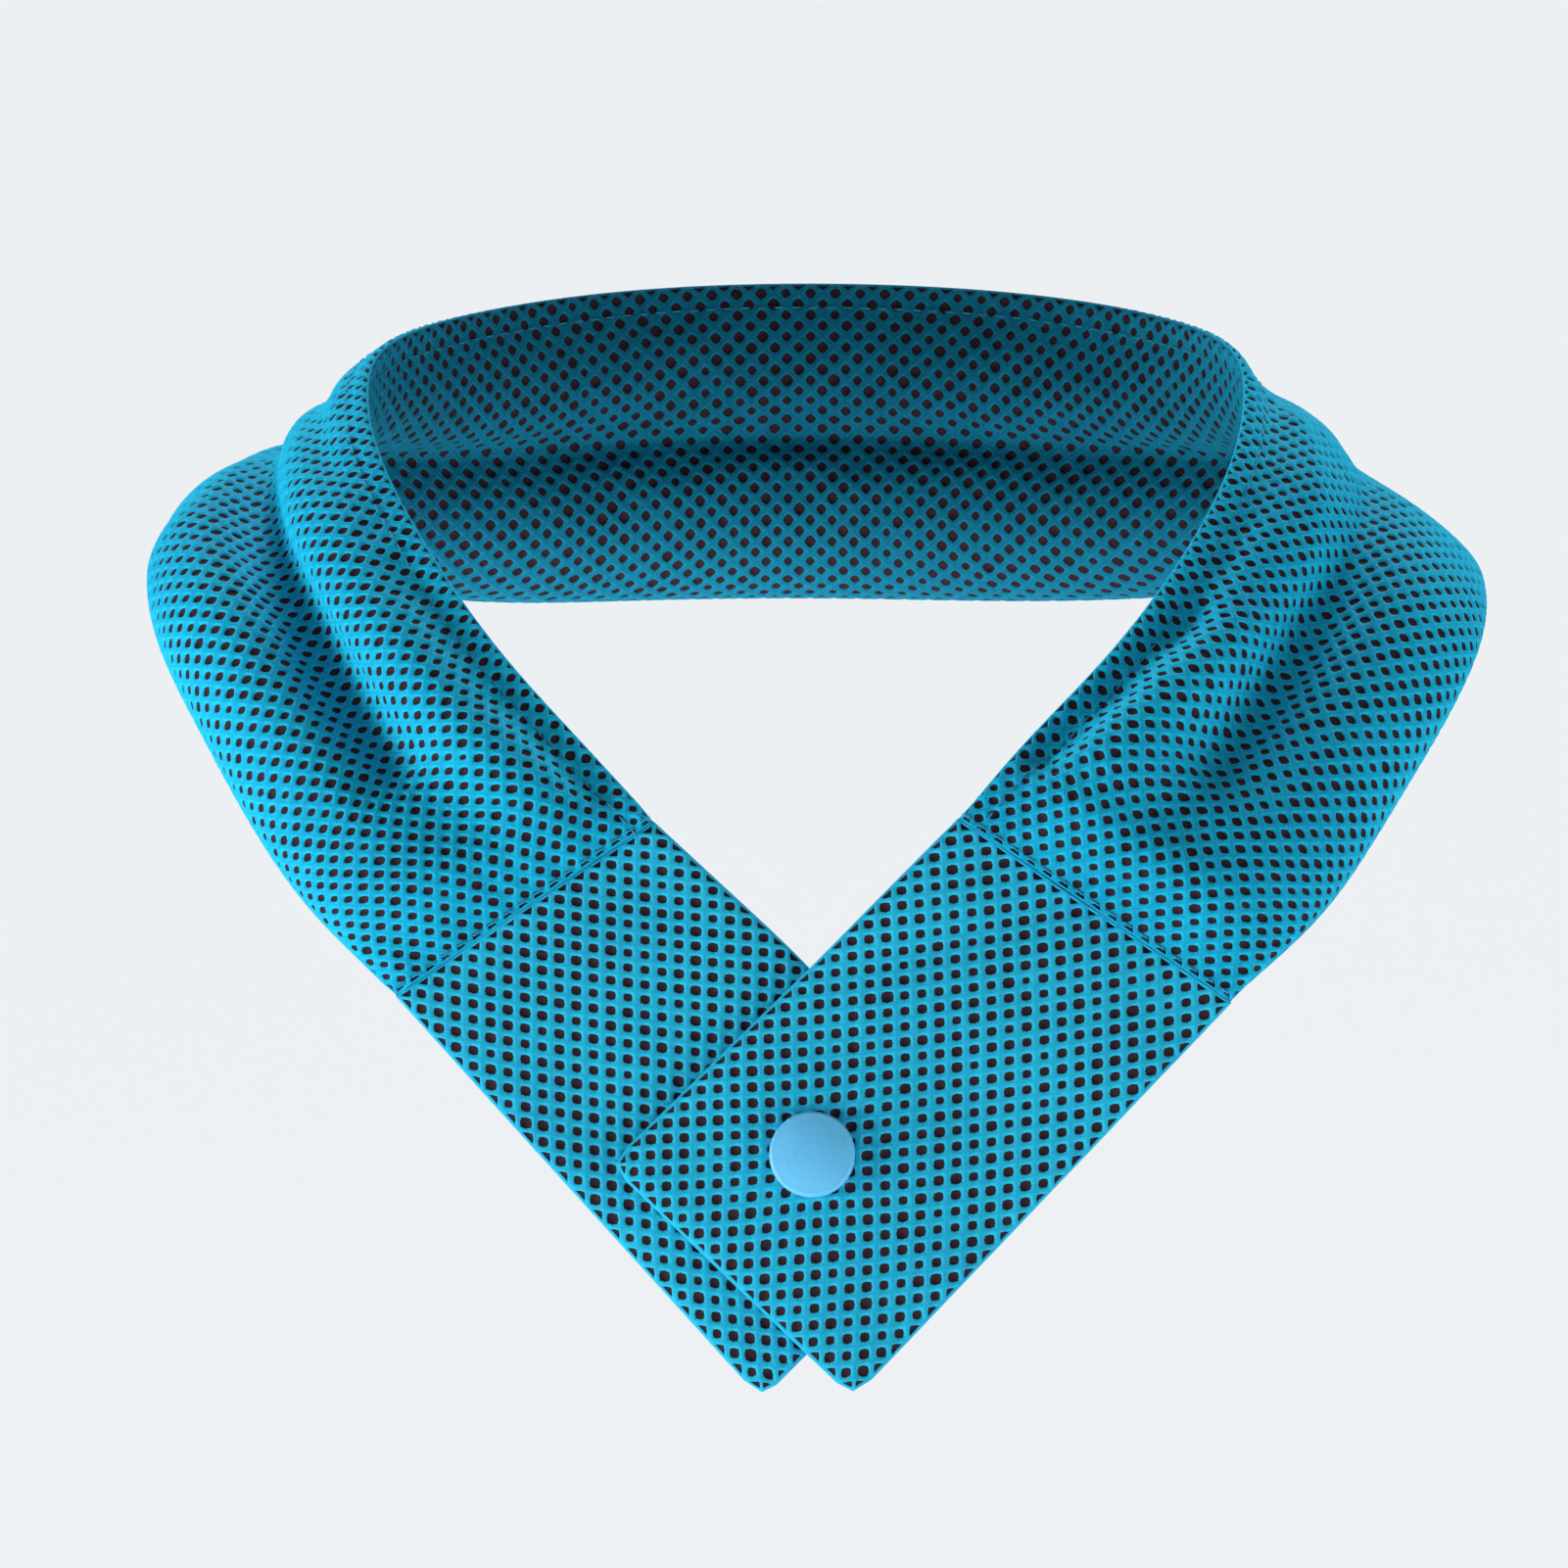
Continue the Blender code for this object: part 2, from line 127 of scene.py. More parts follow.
CHEST_RIGHT = np.array([1.0, 0.0, 0.0])
CHEST_UP = np.array([0.0, math.sin(CHEST_LEAN_ANGLE), math.cos(CHEST_LEAN_ANGLE)])
CHEST_FRONT = np.array([0.0, -math.cos(CHEST_LEAN_ANGLE), math.sin(CHEST_LEAN_ANGLE)])
BACK_ROW = dict(zip(STATION_COLUMNS, STATIONS[len(STATIONS) // 2]))
SEAT_TO_EDGE = BACK_ROW["lower_in"] * LOWER_LOBE_THICKNESS + CLOTH_THICKNESS / 2
BACK_EDGE = np.array([0.0, SEAT_TO_EDGE, BAND_WIDTH / 2])
CROSSING = BACK_EDGE + np.array([0.0, -NECK_DEPTH, -FRONT_DROP])
LAYER_OFFSET = (CLOTH_THICKNESS + CLEARANCE) / 2
print("stations:", len(STATIONS), "tails cross at", np.round(CROSSING * 1000, 1), "mm")

# %% [markdown]
# ## The camera first
# The camera looks from straight in front and ten degrees above, from 1.6 m away with a long lens. Making
# it first keeps every later choice honest: what it sees is compared with the photograph.

# %% Camera
LOOK_AT = np.array([-0.0047, -0.0529, -0.0513])
CAMERA_DISTANCE = 1.6
CAMERA_ELEVATION = math.radians(10)
CAMERA_LENS = 210.5

camera_data = bpy.data.cameras.new("camera")
camera_data.lens = CAMERA_LENS
camera_data.sensor_width = 36.0
camera_data.clip_end = 300.0
camera = bpy.data.objects.new("camera", camera_data)
scene.collection.objects.link(camera)
towards = np.array([0.0, math.cos(CAMERA_ELEVATION), -math.sin(CAMERA_ELEVATION)])
camera.location = LOOK_AT - CAMERA_DISTANCE * towards
camera.rotation_euler = (math.pi / 2 - CAMERA_ELEVATION, 0.0, 0.0)
scene.camera = camera
print("camera at", [round(value, 3) for value in camera.location])

# %% [markdown]
# ## The sleeve as one smooth surface
# A padded sleeve is a tube whose section changes all the way along: thin at the hem, full at the two
# lobes, pinched at the crease between them. The stations give a coarse cage of rings, and a cubic
# B-spline over the cage gives a point for any place along it and round it. That is what a subdivision
# surface does too, but written as a function it can also say where each hole of the knit goes.


# %% Helpers for smooth curves
def unit(vector):
    """The vector, or each row of vectors, at length one."""
    return vector / np.maximum(np.linalg.norm(vector, axis=-1, keepdims=True), 1e-12)


def smooth_step(share):
    """0 to 1 with flat ends."""
    share = np.clip(share, 0.0, 1.0)
    return share * share * (3 - 2 * share)


def bump_at(distance, width):
    """A soft hill of height one, as wide as this to either side."""
    return np.exp(-((distance / width) ** 2))


def natural_spline(knots, values, places):
    """A smooth curve through the values at the knots, read at the places."""
    count = len(knots)
    steps = np.diff(knots)
    system = np.eye(count)
    right = np.zeros_like(values)
    slopes = np.diff(values, axis=0) / steps[:, None]
    for i in range(1, count - 1):
        system[i, i - 1 : i + 2] = steps[i - 1], 2 * (steps[i - 1] + steps[i]), steps[i]
        right[i] = 6 * (slopes[i] - slopes[i - 1])
    bends = np.linalg.solve(system, right)
    span = np.clip(np.searchsorted(knots, places, side="right") - 1, 0, count - 2)
    width = steps[span][:, None]
    after = (places - knots[span])[:, None]
    before = width - after
    bent = (bends[span] * before**3 + bends[span + 1] * after**3) / (6 * width)
    first = (values[span] / width - bends[span] * width / 6) * before
    second = (values[span + 1] / width - bends[span + 1] * width / 6) * after
    return bent + first + second


# %% Places on the chest
def chest_point(across, up, front=0.0):
    """A point of the chest plane, measured from the crossing of the tails."""
    return CROSSING + across * CHEST_RIGHT + up * CHEST_UP + front * CHEST_FRONT


def tail_corners(tail):
    """The tail's outline in the chest plane: seam upper, crossing, end upper, end lower, seam lower."""
    side = tail["side"]
    slope = math.radians(tail["slope"])
    fall = math.radians(tail["fall"])
    rise = math.radians(tail["rise"])
    seam_upper = np.array([side * math.cos(rise), math.sin(rise)]) * tail["seam_reach"] * SEAM_REACH
    end_upper = np.array([-side * math.cos(slope), -math.sin(slope)]) * tail["end_reach"] * TAIL_REACH
    along_end = np.array([side * math.cos(fall), -math.sin(fall)])
    along_seam = np.array([side * math.cos(SEAM_FALL_ANGLE), -math.sin(SEAM_FALL_ANGLE)])
    end_lower = end_upper + along_end * tail["end_width"] * BAND_WIDTH
    seam_lower = seam_upper + along_seam * tail["seam_width"] * BAND_WIDTH
    return seam_upper, np.zeros(2), end_upper, end_lower, seam_lower


def seam_line(tail):
    """The sleeve's end beside the tail's seam, upper and lower corner."""
    seam_upper, _, _, _, seam_lower = tail_corners(tail)
    front = tail["layer"] * LAYER_OFFSET
    return [chest_point(corner[0], corner[1], front) for corner in (seam_upper, seam_lower)]


# %% The cage of the sleeve
def upper_edge(shares):
    """The upper edge's place for shares across, back and drop."""
    return BACK_EDGE + shares * np.array([NECK_WIDTH / 2, -NECK_DEPTH, -FRONT_DROP])


def sleeve_frames(places):
    """Upper edge, chord down the band, outward normal and the table's values at these places."""
    rows = np.array(STATIONS, float)
    read = natural_spline(rows[:, 0], rows[:, 1:], places)
    value = dict(zip(STATION_COLUMNS[1:], read.T))
    edge = upper_edge(read[:, :3])
    ends = [seam_line(tail) for tail in TAILS]
    is_left = (places < 0)[:, None]
    miss = [ends[0][0] - upper_edge(rows[0, 1:4]), ends[1][0] - upper_edge(rows[-1, 1:4])]
    pull = smooth_step((np.abs(places) - PULL_START_SHARE) / (1 - PULL_START_SHARE))[:, None]
    edge = edge + pull * np.where(is_left, miss[0], miss[1])
    along = unit(np.gradient(edge, places, axis=0))
    down = np.array([0.0, 0.0, -1.0])
    down = unit(down - (along @ down)[:, None] * along)
    out = np.cross(along, down)
    roll = np.radians(value["roll"])[:, None]
    chord = np.cos(roll) * down + np.sin(roll) * out
    turn = smooth_step((np.abs(places) - TURN_START_SHARE) / (1 - TURN_START_SHARE))[:, None]
    seam_chord = [unit(lower - upper) for upper, lower in ends]
    chord = unit((1 - turn) * chord + turn * np.where(is_left, seam_chord[0], seam_chord[1]))
    normal = unit(np.cross(along, chord))
    normal = unit((1 - turn) * normal + turn * CHEST_FRONT)
    return edge, chord, normal, value


def section_rings(places):
    """Closed rings of the cage: down the outer side from the upper edge, then up the inner."""
    edge, chord, normal, value = sleeve_frames(places)
    width = value["width"] * BAND_WIDTH
    half_cloth = CLOTH_THICKNESS / 2
    crease = CREASE_SHARE * width
    starts = {"hem": 0.0, "upper": HEM_WIDTH, "crease": crease, "lower": crease}
    lengths = {"hem": HEM_WIDTH, "upper": crease - HEM_WIDTH, "crease": 0.0, "lower": width - crease}
    sides = {}
    for side, sign in (("out", 1.0), ("in", -1.0)):
        upper = value["upper_" + side] * UPPER_LOBE_THICKNESS
        lower = value["lower_" + side] * LOWER_LOBE_THICKNESS
        filled = (1 - value["crease"]) * (upper + lower) / 2
        heights = {"hem": 0.0 * upper, "upper": upper, "lower": lower}
        points = []
        for part, at, height in HALF_SECTION:
            down = starts[part] + at * lengths[part] + 0.0 * width
            rise = filled if part == "crease" else height * heights[part]
            rise = sign * (half_cloth + rise)
            points.append(edge + chord * down[:, None] + normal * rise[:, None])
        sides[side] = points
    return np.stack(sides["out"] + sides["in"][::-1], axis=1)


# %% Any point of the sleeve
rings = section_rings(np.linspace(-1.0, 1.0, CAGE_SECTIONS))
CAGE = np.concatenate([2 * rings[:1] - rings[1:2], rings, 2 * rings[-1:] - rings[-2:-1]])


def spline_weights(share):
    """The four weights of a uniform cubic B-spline."""
    parts = [(1 - share) ** 3, 3 * share**3 - 6 * share**2 + 4]
    parts += [-3 * share**3 + 3 * share**2 + 3 * share + 1, share**3]
    return np.stack(parts, axis=-1) / 6


def sleeve_point(places, around):
    """The smoothed cage at places from -1 to 1, and at ring places counted in cage points."""
    step = (places + 1) / 2 * (CAGE_SECTIONS - 1)
    row = np.clip(np.floor(step).astype(int), 0, CAGE_SECTIONS - 2)
    column = np.floor(around).astype(int)
    along = spline_weights(step - row)
    across = spline_weights(around - column)
    points = np.zeros(places.shape + (3,))
    for i in range(4):
        for j in range(4):
            weight = along[..., i] * across[..., j]
            points += weight[..., None] * CAGE[row + i, (column + j - 1) % RING_POINTS]
    return points


TOP_EDGE = -0.5
LOWER_FOLD = RING_POINTS / 2 - 0.5
print("cage:", CAGE.shape, "points")

# %% [markdown]
# ## Where the holes of the knit go
# The knit is a diamond net. Its strands cross every 2 mm or so along the strip and across it, and the
# holes sit between the crossings like the white squares of a chess board. Real cloth keeps its area, so
# the rows of holes are spaced by true length on the surface and not by the cage: first along the middle
# of the band, a little wider at the back where the net is stretched, and then down each section.

# %% Lattice of the sleeve
HALF_STEP_ARM = 0.00193
HALF_STEP_BACK = 0.0024
STRETCH_END = 0.62
STRETCH_FADE = 0.35
UPPER_LOBE_ROUND = 3.0
LOWER_LOBE_ROUND = 7.0
HALF_ROWS = 34
ALONG_SAMPLES = 1601
ROUND_SAMPLES = 161


def even_places():
    """Places along the sleeve, half a lattice step apart, spaced by true length and by the stretch."""
    fine = np.linspace(-1.0, 1.0, ALONG_SAMPLES)
    middle = sleeve_point(fine, np.full_like(fine, UPPER_LOBE_ROUND))
    middle = (middle + sleeve_point(fine, np.full_like(fine, LOWER_LOBE_ROUND))) / 2
    steps = np.linalg.norm(np.diff(middle, axis=0), axis=1)
    stretch = smooth_step((STRETCH_END - np.abs(fine[:-1])) / STRETCH_FADE)
    counted = steps / (HALF_STEP_ARM + (HALF_STEP_BACK - HALF_STEP_ARM) * stretch)
    total = np.concatenate([[0.0], np.cumsum(counted)])
    columns = 2 * round(total[-1] / 2)
    return np.interp(np.linspace(0, total[-1], 2 * columns + 1), total, fine), columns


def even_rounds(places, start, end, count):
    """Ring places from start to end at each place along, spaced by true length."""
    fine = np.linspace(start, end, ROUND_SAMPLES)
    points = sleeve_point(places[:, None] + 0 * fine, 0 * places[:, None] + fine)
    steps = np.linalg.norm(np.diff(points, axis=1), axis=2)
    total = np.concatenate([np.zeros((len(places), 1)), np.cumsum(steps, axis=1)], axis=1)
    wanted = np.linspace(0.0, 1.0, count + 1)
    return np.stack([np.interp(wanted * row[-1], row, fine) for row in total])


places, HALF_COLUMNS_ALONG = even_places()
outer_rounds = even_rounds(places, TOP_EDGE, LOWER_FOLD, 2 * HALF_ROWS)
inner_rounds = even_rounds(places, LOWER_FOLD, RING_POINTS + TOP_EDGE, 2 * HALF_ROWS)
sleeve_rounds = np.concatenate([outer_rounds, inner_rounds[:, 1:]], axis=1)
sleeve_grid = sleeve_point(places[:, None] + 0 * sleeve_rounds, sleeve_rounds)
print("lattice:", HALF_COLUMNS_ALONG, "half columns by", 2 * HALF_ROWS, "half rows")

# %% [markdown]
# ## Puffing up the padding
# Cloth over soft padding never lies as smooth as a formula. A cloth simulation on a coarse copy of the
# sleeve gives it that life: the hem, the crease and the two seams are held, the cloth is cut a little too
# large, and a small pressure inside pushes it out, so it billows and puckers between the lines that hold
# it. Only how far each point moved is kept, with a limit, and is added to the fine surface.

# %% Cloth simulation
SIM_EVERY = 4
PRESSURE = 3.0
SPARE_CLOTH = 0.002
FRAMES = 20
FURTHEST_MOVE = 0.0007
CREASE_ROUND = 5.0
HEM_HELD_WIDTH = 1.3
CREASE_HELD_WIDTH = 0.7
CREASE_HELD_SHARE = 0.85
CREASE_END = 0.85
SEAM_HELD_FROM = 0.97


def tube_mesh(name, points):
    """A closed tube from a grid of points, the last column being the first again, with flat ends."""
    rows, around = points.shape[0], points.shape[1] - 1
    index = np.arange(rows * around).reshape(rows, around)
    faces = []
    for i in range(rows - 1):
        for j in range(around):
            k = (j + 1) % around
            faces.append((index[i, j], index[i, k], index[i + 1, k], index[i + 1, j]))
    half = around // 2
    for row, turned in ((0, False), (rows - 1, True)):
        for j in range(half):
            cap = [index[row, j], index[row, (around - j) % around]]
            cap += [index[row, around - j - 1], index[row, j + 1]]
            cap = list(dict.fromkeys(cap))
            faces.append(tuple(cap[::-1] if turned else cap))
    mesh = bpy.data.meshes.new(name)
    mesh.from_pydata(points[:, :-1].reshape(-1, 3).tolist(), [], faces)
    mesh.validate()
    return mesh


def resample(field, factor, closed):
    """The field with more points between its own along its first axis, by a Catmull-Rom curve."""
    count = len(field) if closed else len(field) - 1
    at = np.arange(count * factor + (0 if closed else 1)) / factor
    low = np.minimum(np.floor(at).astype(int), count - 1 + (1 if closed else 0))
    t = (at - low).reshape((-1,) + (1,) * (field.ndim - 1))

    def pick(shift):
        where = low + shift
        return field[where % len(field)] if closed else field[np.clip(where, 0, len(field) - 1)]

    a, b, c, d = pick(-1), pick(0), pick(1), pick(2)
    return b + t / 2 * (c - a + t * (2 * a - 5 * b + 4 * c - d + t * (3 * (b - c) + d - a)))


def puff(points, held):
    """How far each point moves when the closed tube is blown up, by Blender's cloth."""
    mesh = tube_mesh("sleeve_cloth", points)
    body = bpy.data.objects.new("sleeve_cloth", mesh)
    scene.collection.objects.link(body)
    group = body.vertex_groups.new(name="held")
    for i, weight in enumerate(held[:, :-1].ravel()):
        group.add([i], float(weight), "REPLACE")
    cloth = body.modifiers.new("cloth", "CLOTH")
    settings = cloth.settings
    settings.quality = 6
    settings.mass = 0.2
    settings.tension_stiffness = 12.0
    settings.compression_stiffness = 12.0
    settings.shear_stiffness = 4.0
    settings.bending_stiffness = 0.3
    settings.use_pressure = True
    settings.uniform_pressure_force = PRESSURE
    settings.shrink_min = -SPARE_CLOTH
    settings.vertex_group_mass = "held"
    settings.effector_weights.gravity = 0.0
    cloth.point_cache.frame_start = 1
    cloth.point_cache.frame_end = FRAMES
    for number in range(1, FRAMES + 1):
        scene.frame_set(number)
    done = body.evaluated_get(bpy.context.evaluated_depsgraph_get()).to_mesh()
    after = np.empty(len(done.vertices) * 3)
    done.vertices.foreach_get("co", after)
    after = after.reshape(points[:, :-1].shape)
    bpy.data.objects.remove(body)
    scene.frame_set(1)
    return after - points[:, :-1]


def sleeve_puff():
    """The simulated move of every point of the fine grid."""
    coarse = sleeve_grid[::SIM_EVERY, ::SIM_EVERY]
    rounds = sleeve_rounds[::SIM_EVERY, ::SIM_EVERY]
    along = places[::SIM_EVERY, None] + 0 * rounds
    wrapped = np.minimum(rounds - TOP_EDGE, RING_POINTS + TOP_EDGE - rounds)
    crease_in = RING_POINTS - 1 - CREASE_ROUND
    crease_gap = np.minimum(np.abs(rounds - CREASE_ROUND), np.abs(rounds - crease_in))
    crease_held = CREASE_HELD_SHARE * bump_at(crease_gap, CREASE_HELD_WIDTH)
    held = np.maximum(bump_at(wrapped, HEM_HELD_WIDTH), crease_held * (np.abs(along) < CREASE_END))
    held = np.maximum(held, smooth_step((np.abs(along) - SEAM_HELD_FROM) / (1 - SEAM_HELD_FROM)))
    held[held < 0.02] = 0.0
    moved = puff(coarse, held)
    length = np.linalg.norm(moved, axis=-1, keepdims=True)
    print("cloth moved up to", round(float(length.max()) * 1000, 2), "mm")
    moved *= np.tanh(length / FURTHEST_MOVE) * FURTHEST_MOVE / np.maximum(length, 1e-9)
    fine = resample(moved, SIM_EVERY, closed=False)
    fine = np.moveaxis(resample(np.moveaxis(fine, 1, 0), SIM_EVERY, closed=True), 0, 1)
    return np.concatenate([fine, fine[:, :1]], axis=1)


sleeve_grid = sleeve_grid + sleeve_puff()

# %% [markdown]
# ## Folds that the eye looks for
# Some folds are always in the same place on the real thing, so they are drawn one by one. Each row of the
# table is a line on the sleeve, from one place along it and round it to another, with its width in ring
# points, its height, and how softly its two ends fade. A negative height is a dent. A line marked as
# through moves both faces, as the valley between the lobes does, which ends in a dimple above each seam.
# The other lines are the groove below the hem, the dents of the two shoulders and the soft ridges between
# them. The padding also swells before each seam, the cloth gathers beside it, and small puckers lie along
# the hem of both arms. Folding stretches the cloth between its holes, so the rows are spaced evenly again.


# %% Drawn folds
def grid_normals(points):
    """Unit normals of a grid of points, outwards."""
    along = np.gradient(points, axis=0)
    across = np.gradient(points, axis=1)
    return unit(np.cross(along, across))


LINE_COLUMNS = (
    "along", "round", "to_along", "to_round", "wide", "height", "start_fade", "end_fade", "through",
)
LINES = (
    (-0.38, 4.8, -0.880, 5.05, 1.30, -0.0032, 0.22, 0.050, 1),
    (0.60, 4.7, 0.885, 4.45, 1.30, -0.0031, 0.10, 0.055, 1),
    (-0.395, 2.75, -0.640, 1.75, 0.50, -0.0019, 0.03, 0.080, 0),
    (-0.68, 1.4, -0.975, 1.20, 0.60, -0.0012, 0.05, 0.020, 1),
    (0.365, 1.9, 0.500, 2.00, 0.90, -0.0036, 0.04, 0.060, 0),
    (0.46, 1.5, 0.800, 1.60, 0.50, -0.0012, 0.04, 0.060, 0),
    (0.72, 1.6, 0.950, 1.00, 0.60, -0.0024, 0.05, 0.030, 1),
    (-0.70, 2.9, -0.950, 2.50, 0.90, 0.0012, 0.06, 0.030, 0),
    (0.70, 2.9, 0.930, 2.30, 0.80, 0.0016, 0.06, 0.030, 0),
    (0.48, 2.1, 0.700, 3.70, 0.35, 0.0007, 0.04, 0.050, 0),
    (0.36, 5.8, 0.545, 7.30, 1.45, -0.0038, 0.07, 0.090, 0),
    (-0.40, 5.8, -0.560, 8.20, 1.30, -0.0016, 0.05, 0.050, 0),
)
SWELL_HEIGHT = 0.0017
SWELL_FROM_SEAM = 0.055
SWELL_WIDTH = 0.029
SWELL_ROUNDS = (1.2, 8.2)
SWELL_FADES = (1.5, 1.8)
GATHER_HEIGHT = 0.0002
GATHER_COUNT = 9
GATHER_REACH = 0.014
PUCKER_HEIGHT = 0.00014
PUCKER_STEP = 0.018
PUCKER_ROUND = 1.5
PUCKER_END = 0.65


def fold_heights():
    """How far each point of the sleeve's grid moves along its normal."""
    along = places[:, None] + 0 * sleeve_rounds
    outer = sleeve_rounds < LOWER_FOLD
    rounds = np.where(outer, sleeve_rounds, RING_POINTS - 1 - sleeve_rounds)
    height = np.zeros_like(rounds)
    for row in LINES:
        line = dict(zip(LINE_COLUMNS, row))
        run = line["to_along"] - line["along"]
        done = (along - line["along"]) / run
        gap = rounds - line["round"] - done * (line["to_round"] - line["round"])
        fade = smooth_step(done * abs(run) / line["start_fade"])
        fade = fade * smooth_step((1 - done) * abs(run) / line["end_fade"])
        side = np.where(outer, 1.0, -line["through"])
        height += side * line["height"] * bump_at(gap, line["wide"]) * fade
    from_seam = 1 - np.abs(along)
    swell = bump_at(from_seam - SWELL_FROM_SEAM, SWELL_WIDTH) * smooth_step(from_seam / 0.02)
    swell = swell * smooth_step((rounds - SWELL_ROUNDS[0]) / SWELL_FADES[0])
    swell = swell * smooth_step((SWELL_ROUNDS[1] - rounds) / SWELL_FADES[1])
    height += SWELL_HEIGHT * swell * outer
    fan = np.sin(2 * math.pi * GATHER_COUNT * sleeve_rounds / RING_POINTS * 2 + 1.3 * np.sign(along))
    height += GATHER_HEIGHT * fan * from_seam / GATHER_REACH * np.exp(1 - from_seam / GATHER_REACH)
    pucker = np.sin(2 * math.pi * (along / PUCKER_STEP + 0.35 * rounds))
    pucker += np.sin(2 * math.pi * (along / PUCKER_STEP * 0.618 - 0.2 * rounds) + 1.0)
    pucker = pucker / 2 * smooth_step(from_seam / 0.03) * smooth_step((PUCKER_END - from_seam) / 0.2)
    height += PUCKER_HEIGHT * bump_at(rounds - PUCKER_ROUND, 0.9) * pucker * outer
    return height


def evened(points, rounds):
    """One face's sections with their rows spaced by true length again, which folding has changed."""
    rows = []
    for section, around in zip(points, rounds):
        steps = np.linalg.norm(np.diff(section, axis=0), axis=1)
        total = np.concatenate([[0.0], np.cumsum(steps)])
        wanted = np.linspace(0.0, total[-1], len(total))
        rows.append(natural_spline(total, np.column_stack([section, around]), wanted))
    return np.stack(rows)


sleeve_grid = sleeve_grid + fold_heights()[..., None] * grid_normals(sleeve_grid)
fold_row = 2 * HALF_ROWS
outer_rows = evened(sleeve_grid[:, : fold_row + 1], sleeve_rounds[:, : fold_row + 1])
inner_rows = evened(sleeve_grid[:, fold_row:], sleeve_rounds[:, fold_row:])
sleeve_rows = np.concatenate([outer_rows, inner_rows[:, 1:]], axis=1)
sleeve_grid, sleeve_rounds = sleeve_rows[..., :3], sleeve_rows[..., 3]
print("fold lines:", len(LINES))

# %% [markdown]
# ## Node helpers
# The next cells build node trees, for geometry and for materials. A small class holds one socket and
# knows how to add, multiply and so on, so a sum is written as a sum. Its second half puts any other node
# into the same tree from one call.


# %% Node benches
class Wire:
    """One socket of a node tree, which can be used in a sum."""

    def __init__(self, bench, socket):
        self.bench = bench
        self.socket = socket

    def other(self, name):
        """Another output of the same node."""
        return Wire(self.bench, self.socket.node.outputs[name])

    def __add__(self, value):
        return self.bench.maths("ADD", self, value)

    def __sub__(self, value):
        return self.bench.maths("SUBTRACT", self, value)

    def __rsub__(self, value):
        return self.bench.maths("SUBTRACT", value, self)

    def __mul__(self, value):
        return self.bench.maths("MULTIPLY", self, value)

    def __truediv__(self, value):
        return self.bench.maths("DIVIDE", self, value)

    __radd__ = __add__
    __rmul__ = __mul__


class Bench:
    """Adds nodes to one tree."""

    def __init__(self, tree):
        self.tree = tree

    def maths(self, operation, first, second=0.0):
        """A Math node."""
        return self.node("ShaderNodeMath", {"operation": operation}, {0: first, 1: second})

    def vectors(self, operation, first, second, out="Vector"):
        """A Vector Math node. A scale takes a number."""
        place = 3 if operation == "SCALE" else 1
        return self.node("ShaderNodeVectorMath", {"operation": operation}, {0: first, place: second}, out)

    def mix(self, factor, first, second):
        """A Mix node on colours."""
        settings = {"data_type": "RGBA"}
        return self.node("ShaderNodeMix", settings, {0: factor, 6: first, 7: second}, 2)

    def node(self, kind, settings=None, values=None, out=0):
        """Any node: its settings first, then the values or links of its sockets."""
        made = self.tree.nodes.new(kind)
        for name, value in (settings or {}).items():
            setattr(made, name, value)
        for name, value in (values or {}).items():
            socket = made.inputs[name]
            if isinstance(value, Wire):
                self.tree.links.new(value.socket, socket)
            elif hasattr(socket.default_value, "__len__") and len(socket.default_value) == 4:
                socket.default_value = (*value[:3], 1.0)
            else:
                socket.default_value = value
        return Wire(self, made.outputs[out])


print("benches ready")

# %% [markdown]
# ## The open knit
# The base mesh has one eight-sided face for each hole of the net, with its corners on the strand
# crossings and on the middles of the strands. Geometry Nodes then press a hole into every face: the face
# is drawn in to the rim of the hole, where the strand is highest, and drawn in once more and pushed down
# to the dark lining underneath. A net made this way catches real light on its strands and stays crisp in
# any view, which a painted pattern doesn't.


# %% Geometry Nodes: open knit
def new_tree(name, sockets):
    """A geometry tree with a mesh in, a mesh out and these named inputs."""
    tree = bpy.data.node_groups.new(name, "GeometryNodeTree")
    tree.is_modifier = True
    tree.interface.new_socket("Geometry", in_out="INPUT", socket_type="NodeSocketGeometry")
    tree.interface.new_socket("Geometry", in_out="OUTPUT", socket_type="NodeSocketGeometry")
    for label, kind, value in sockets:
        made = tree.interface.new_socket(label, in_out="INPUT", socket_type="NodeSocket" + kind)
        if value is not None:
            made.default_value = value
    bench = Bench(tree)
    given = bench.node("NodeGroupInput")
    return tree, bench, given


def close_tree(tree, bench, geometry):
    """Makes instances real and ends a tree with its output."""
    out = tree.nodes.new("NodeGroupOutput")
    real = bench.node("GeometryNodeRealizeInstances", {}, {"Geometry": geometry})
    tree.links.new(real.socket, out.inputs[0])


def named(bench, name, kind):
    """A named attribute of the mesh."""
    return bench.node("GeometryNodeInputNamedAttribute", {"data_type": kind}, {"Name": name})


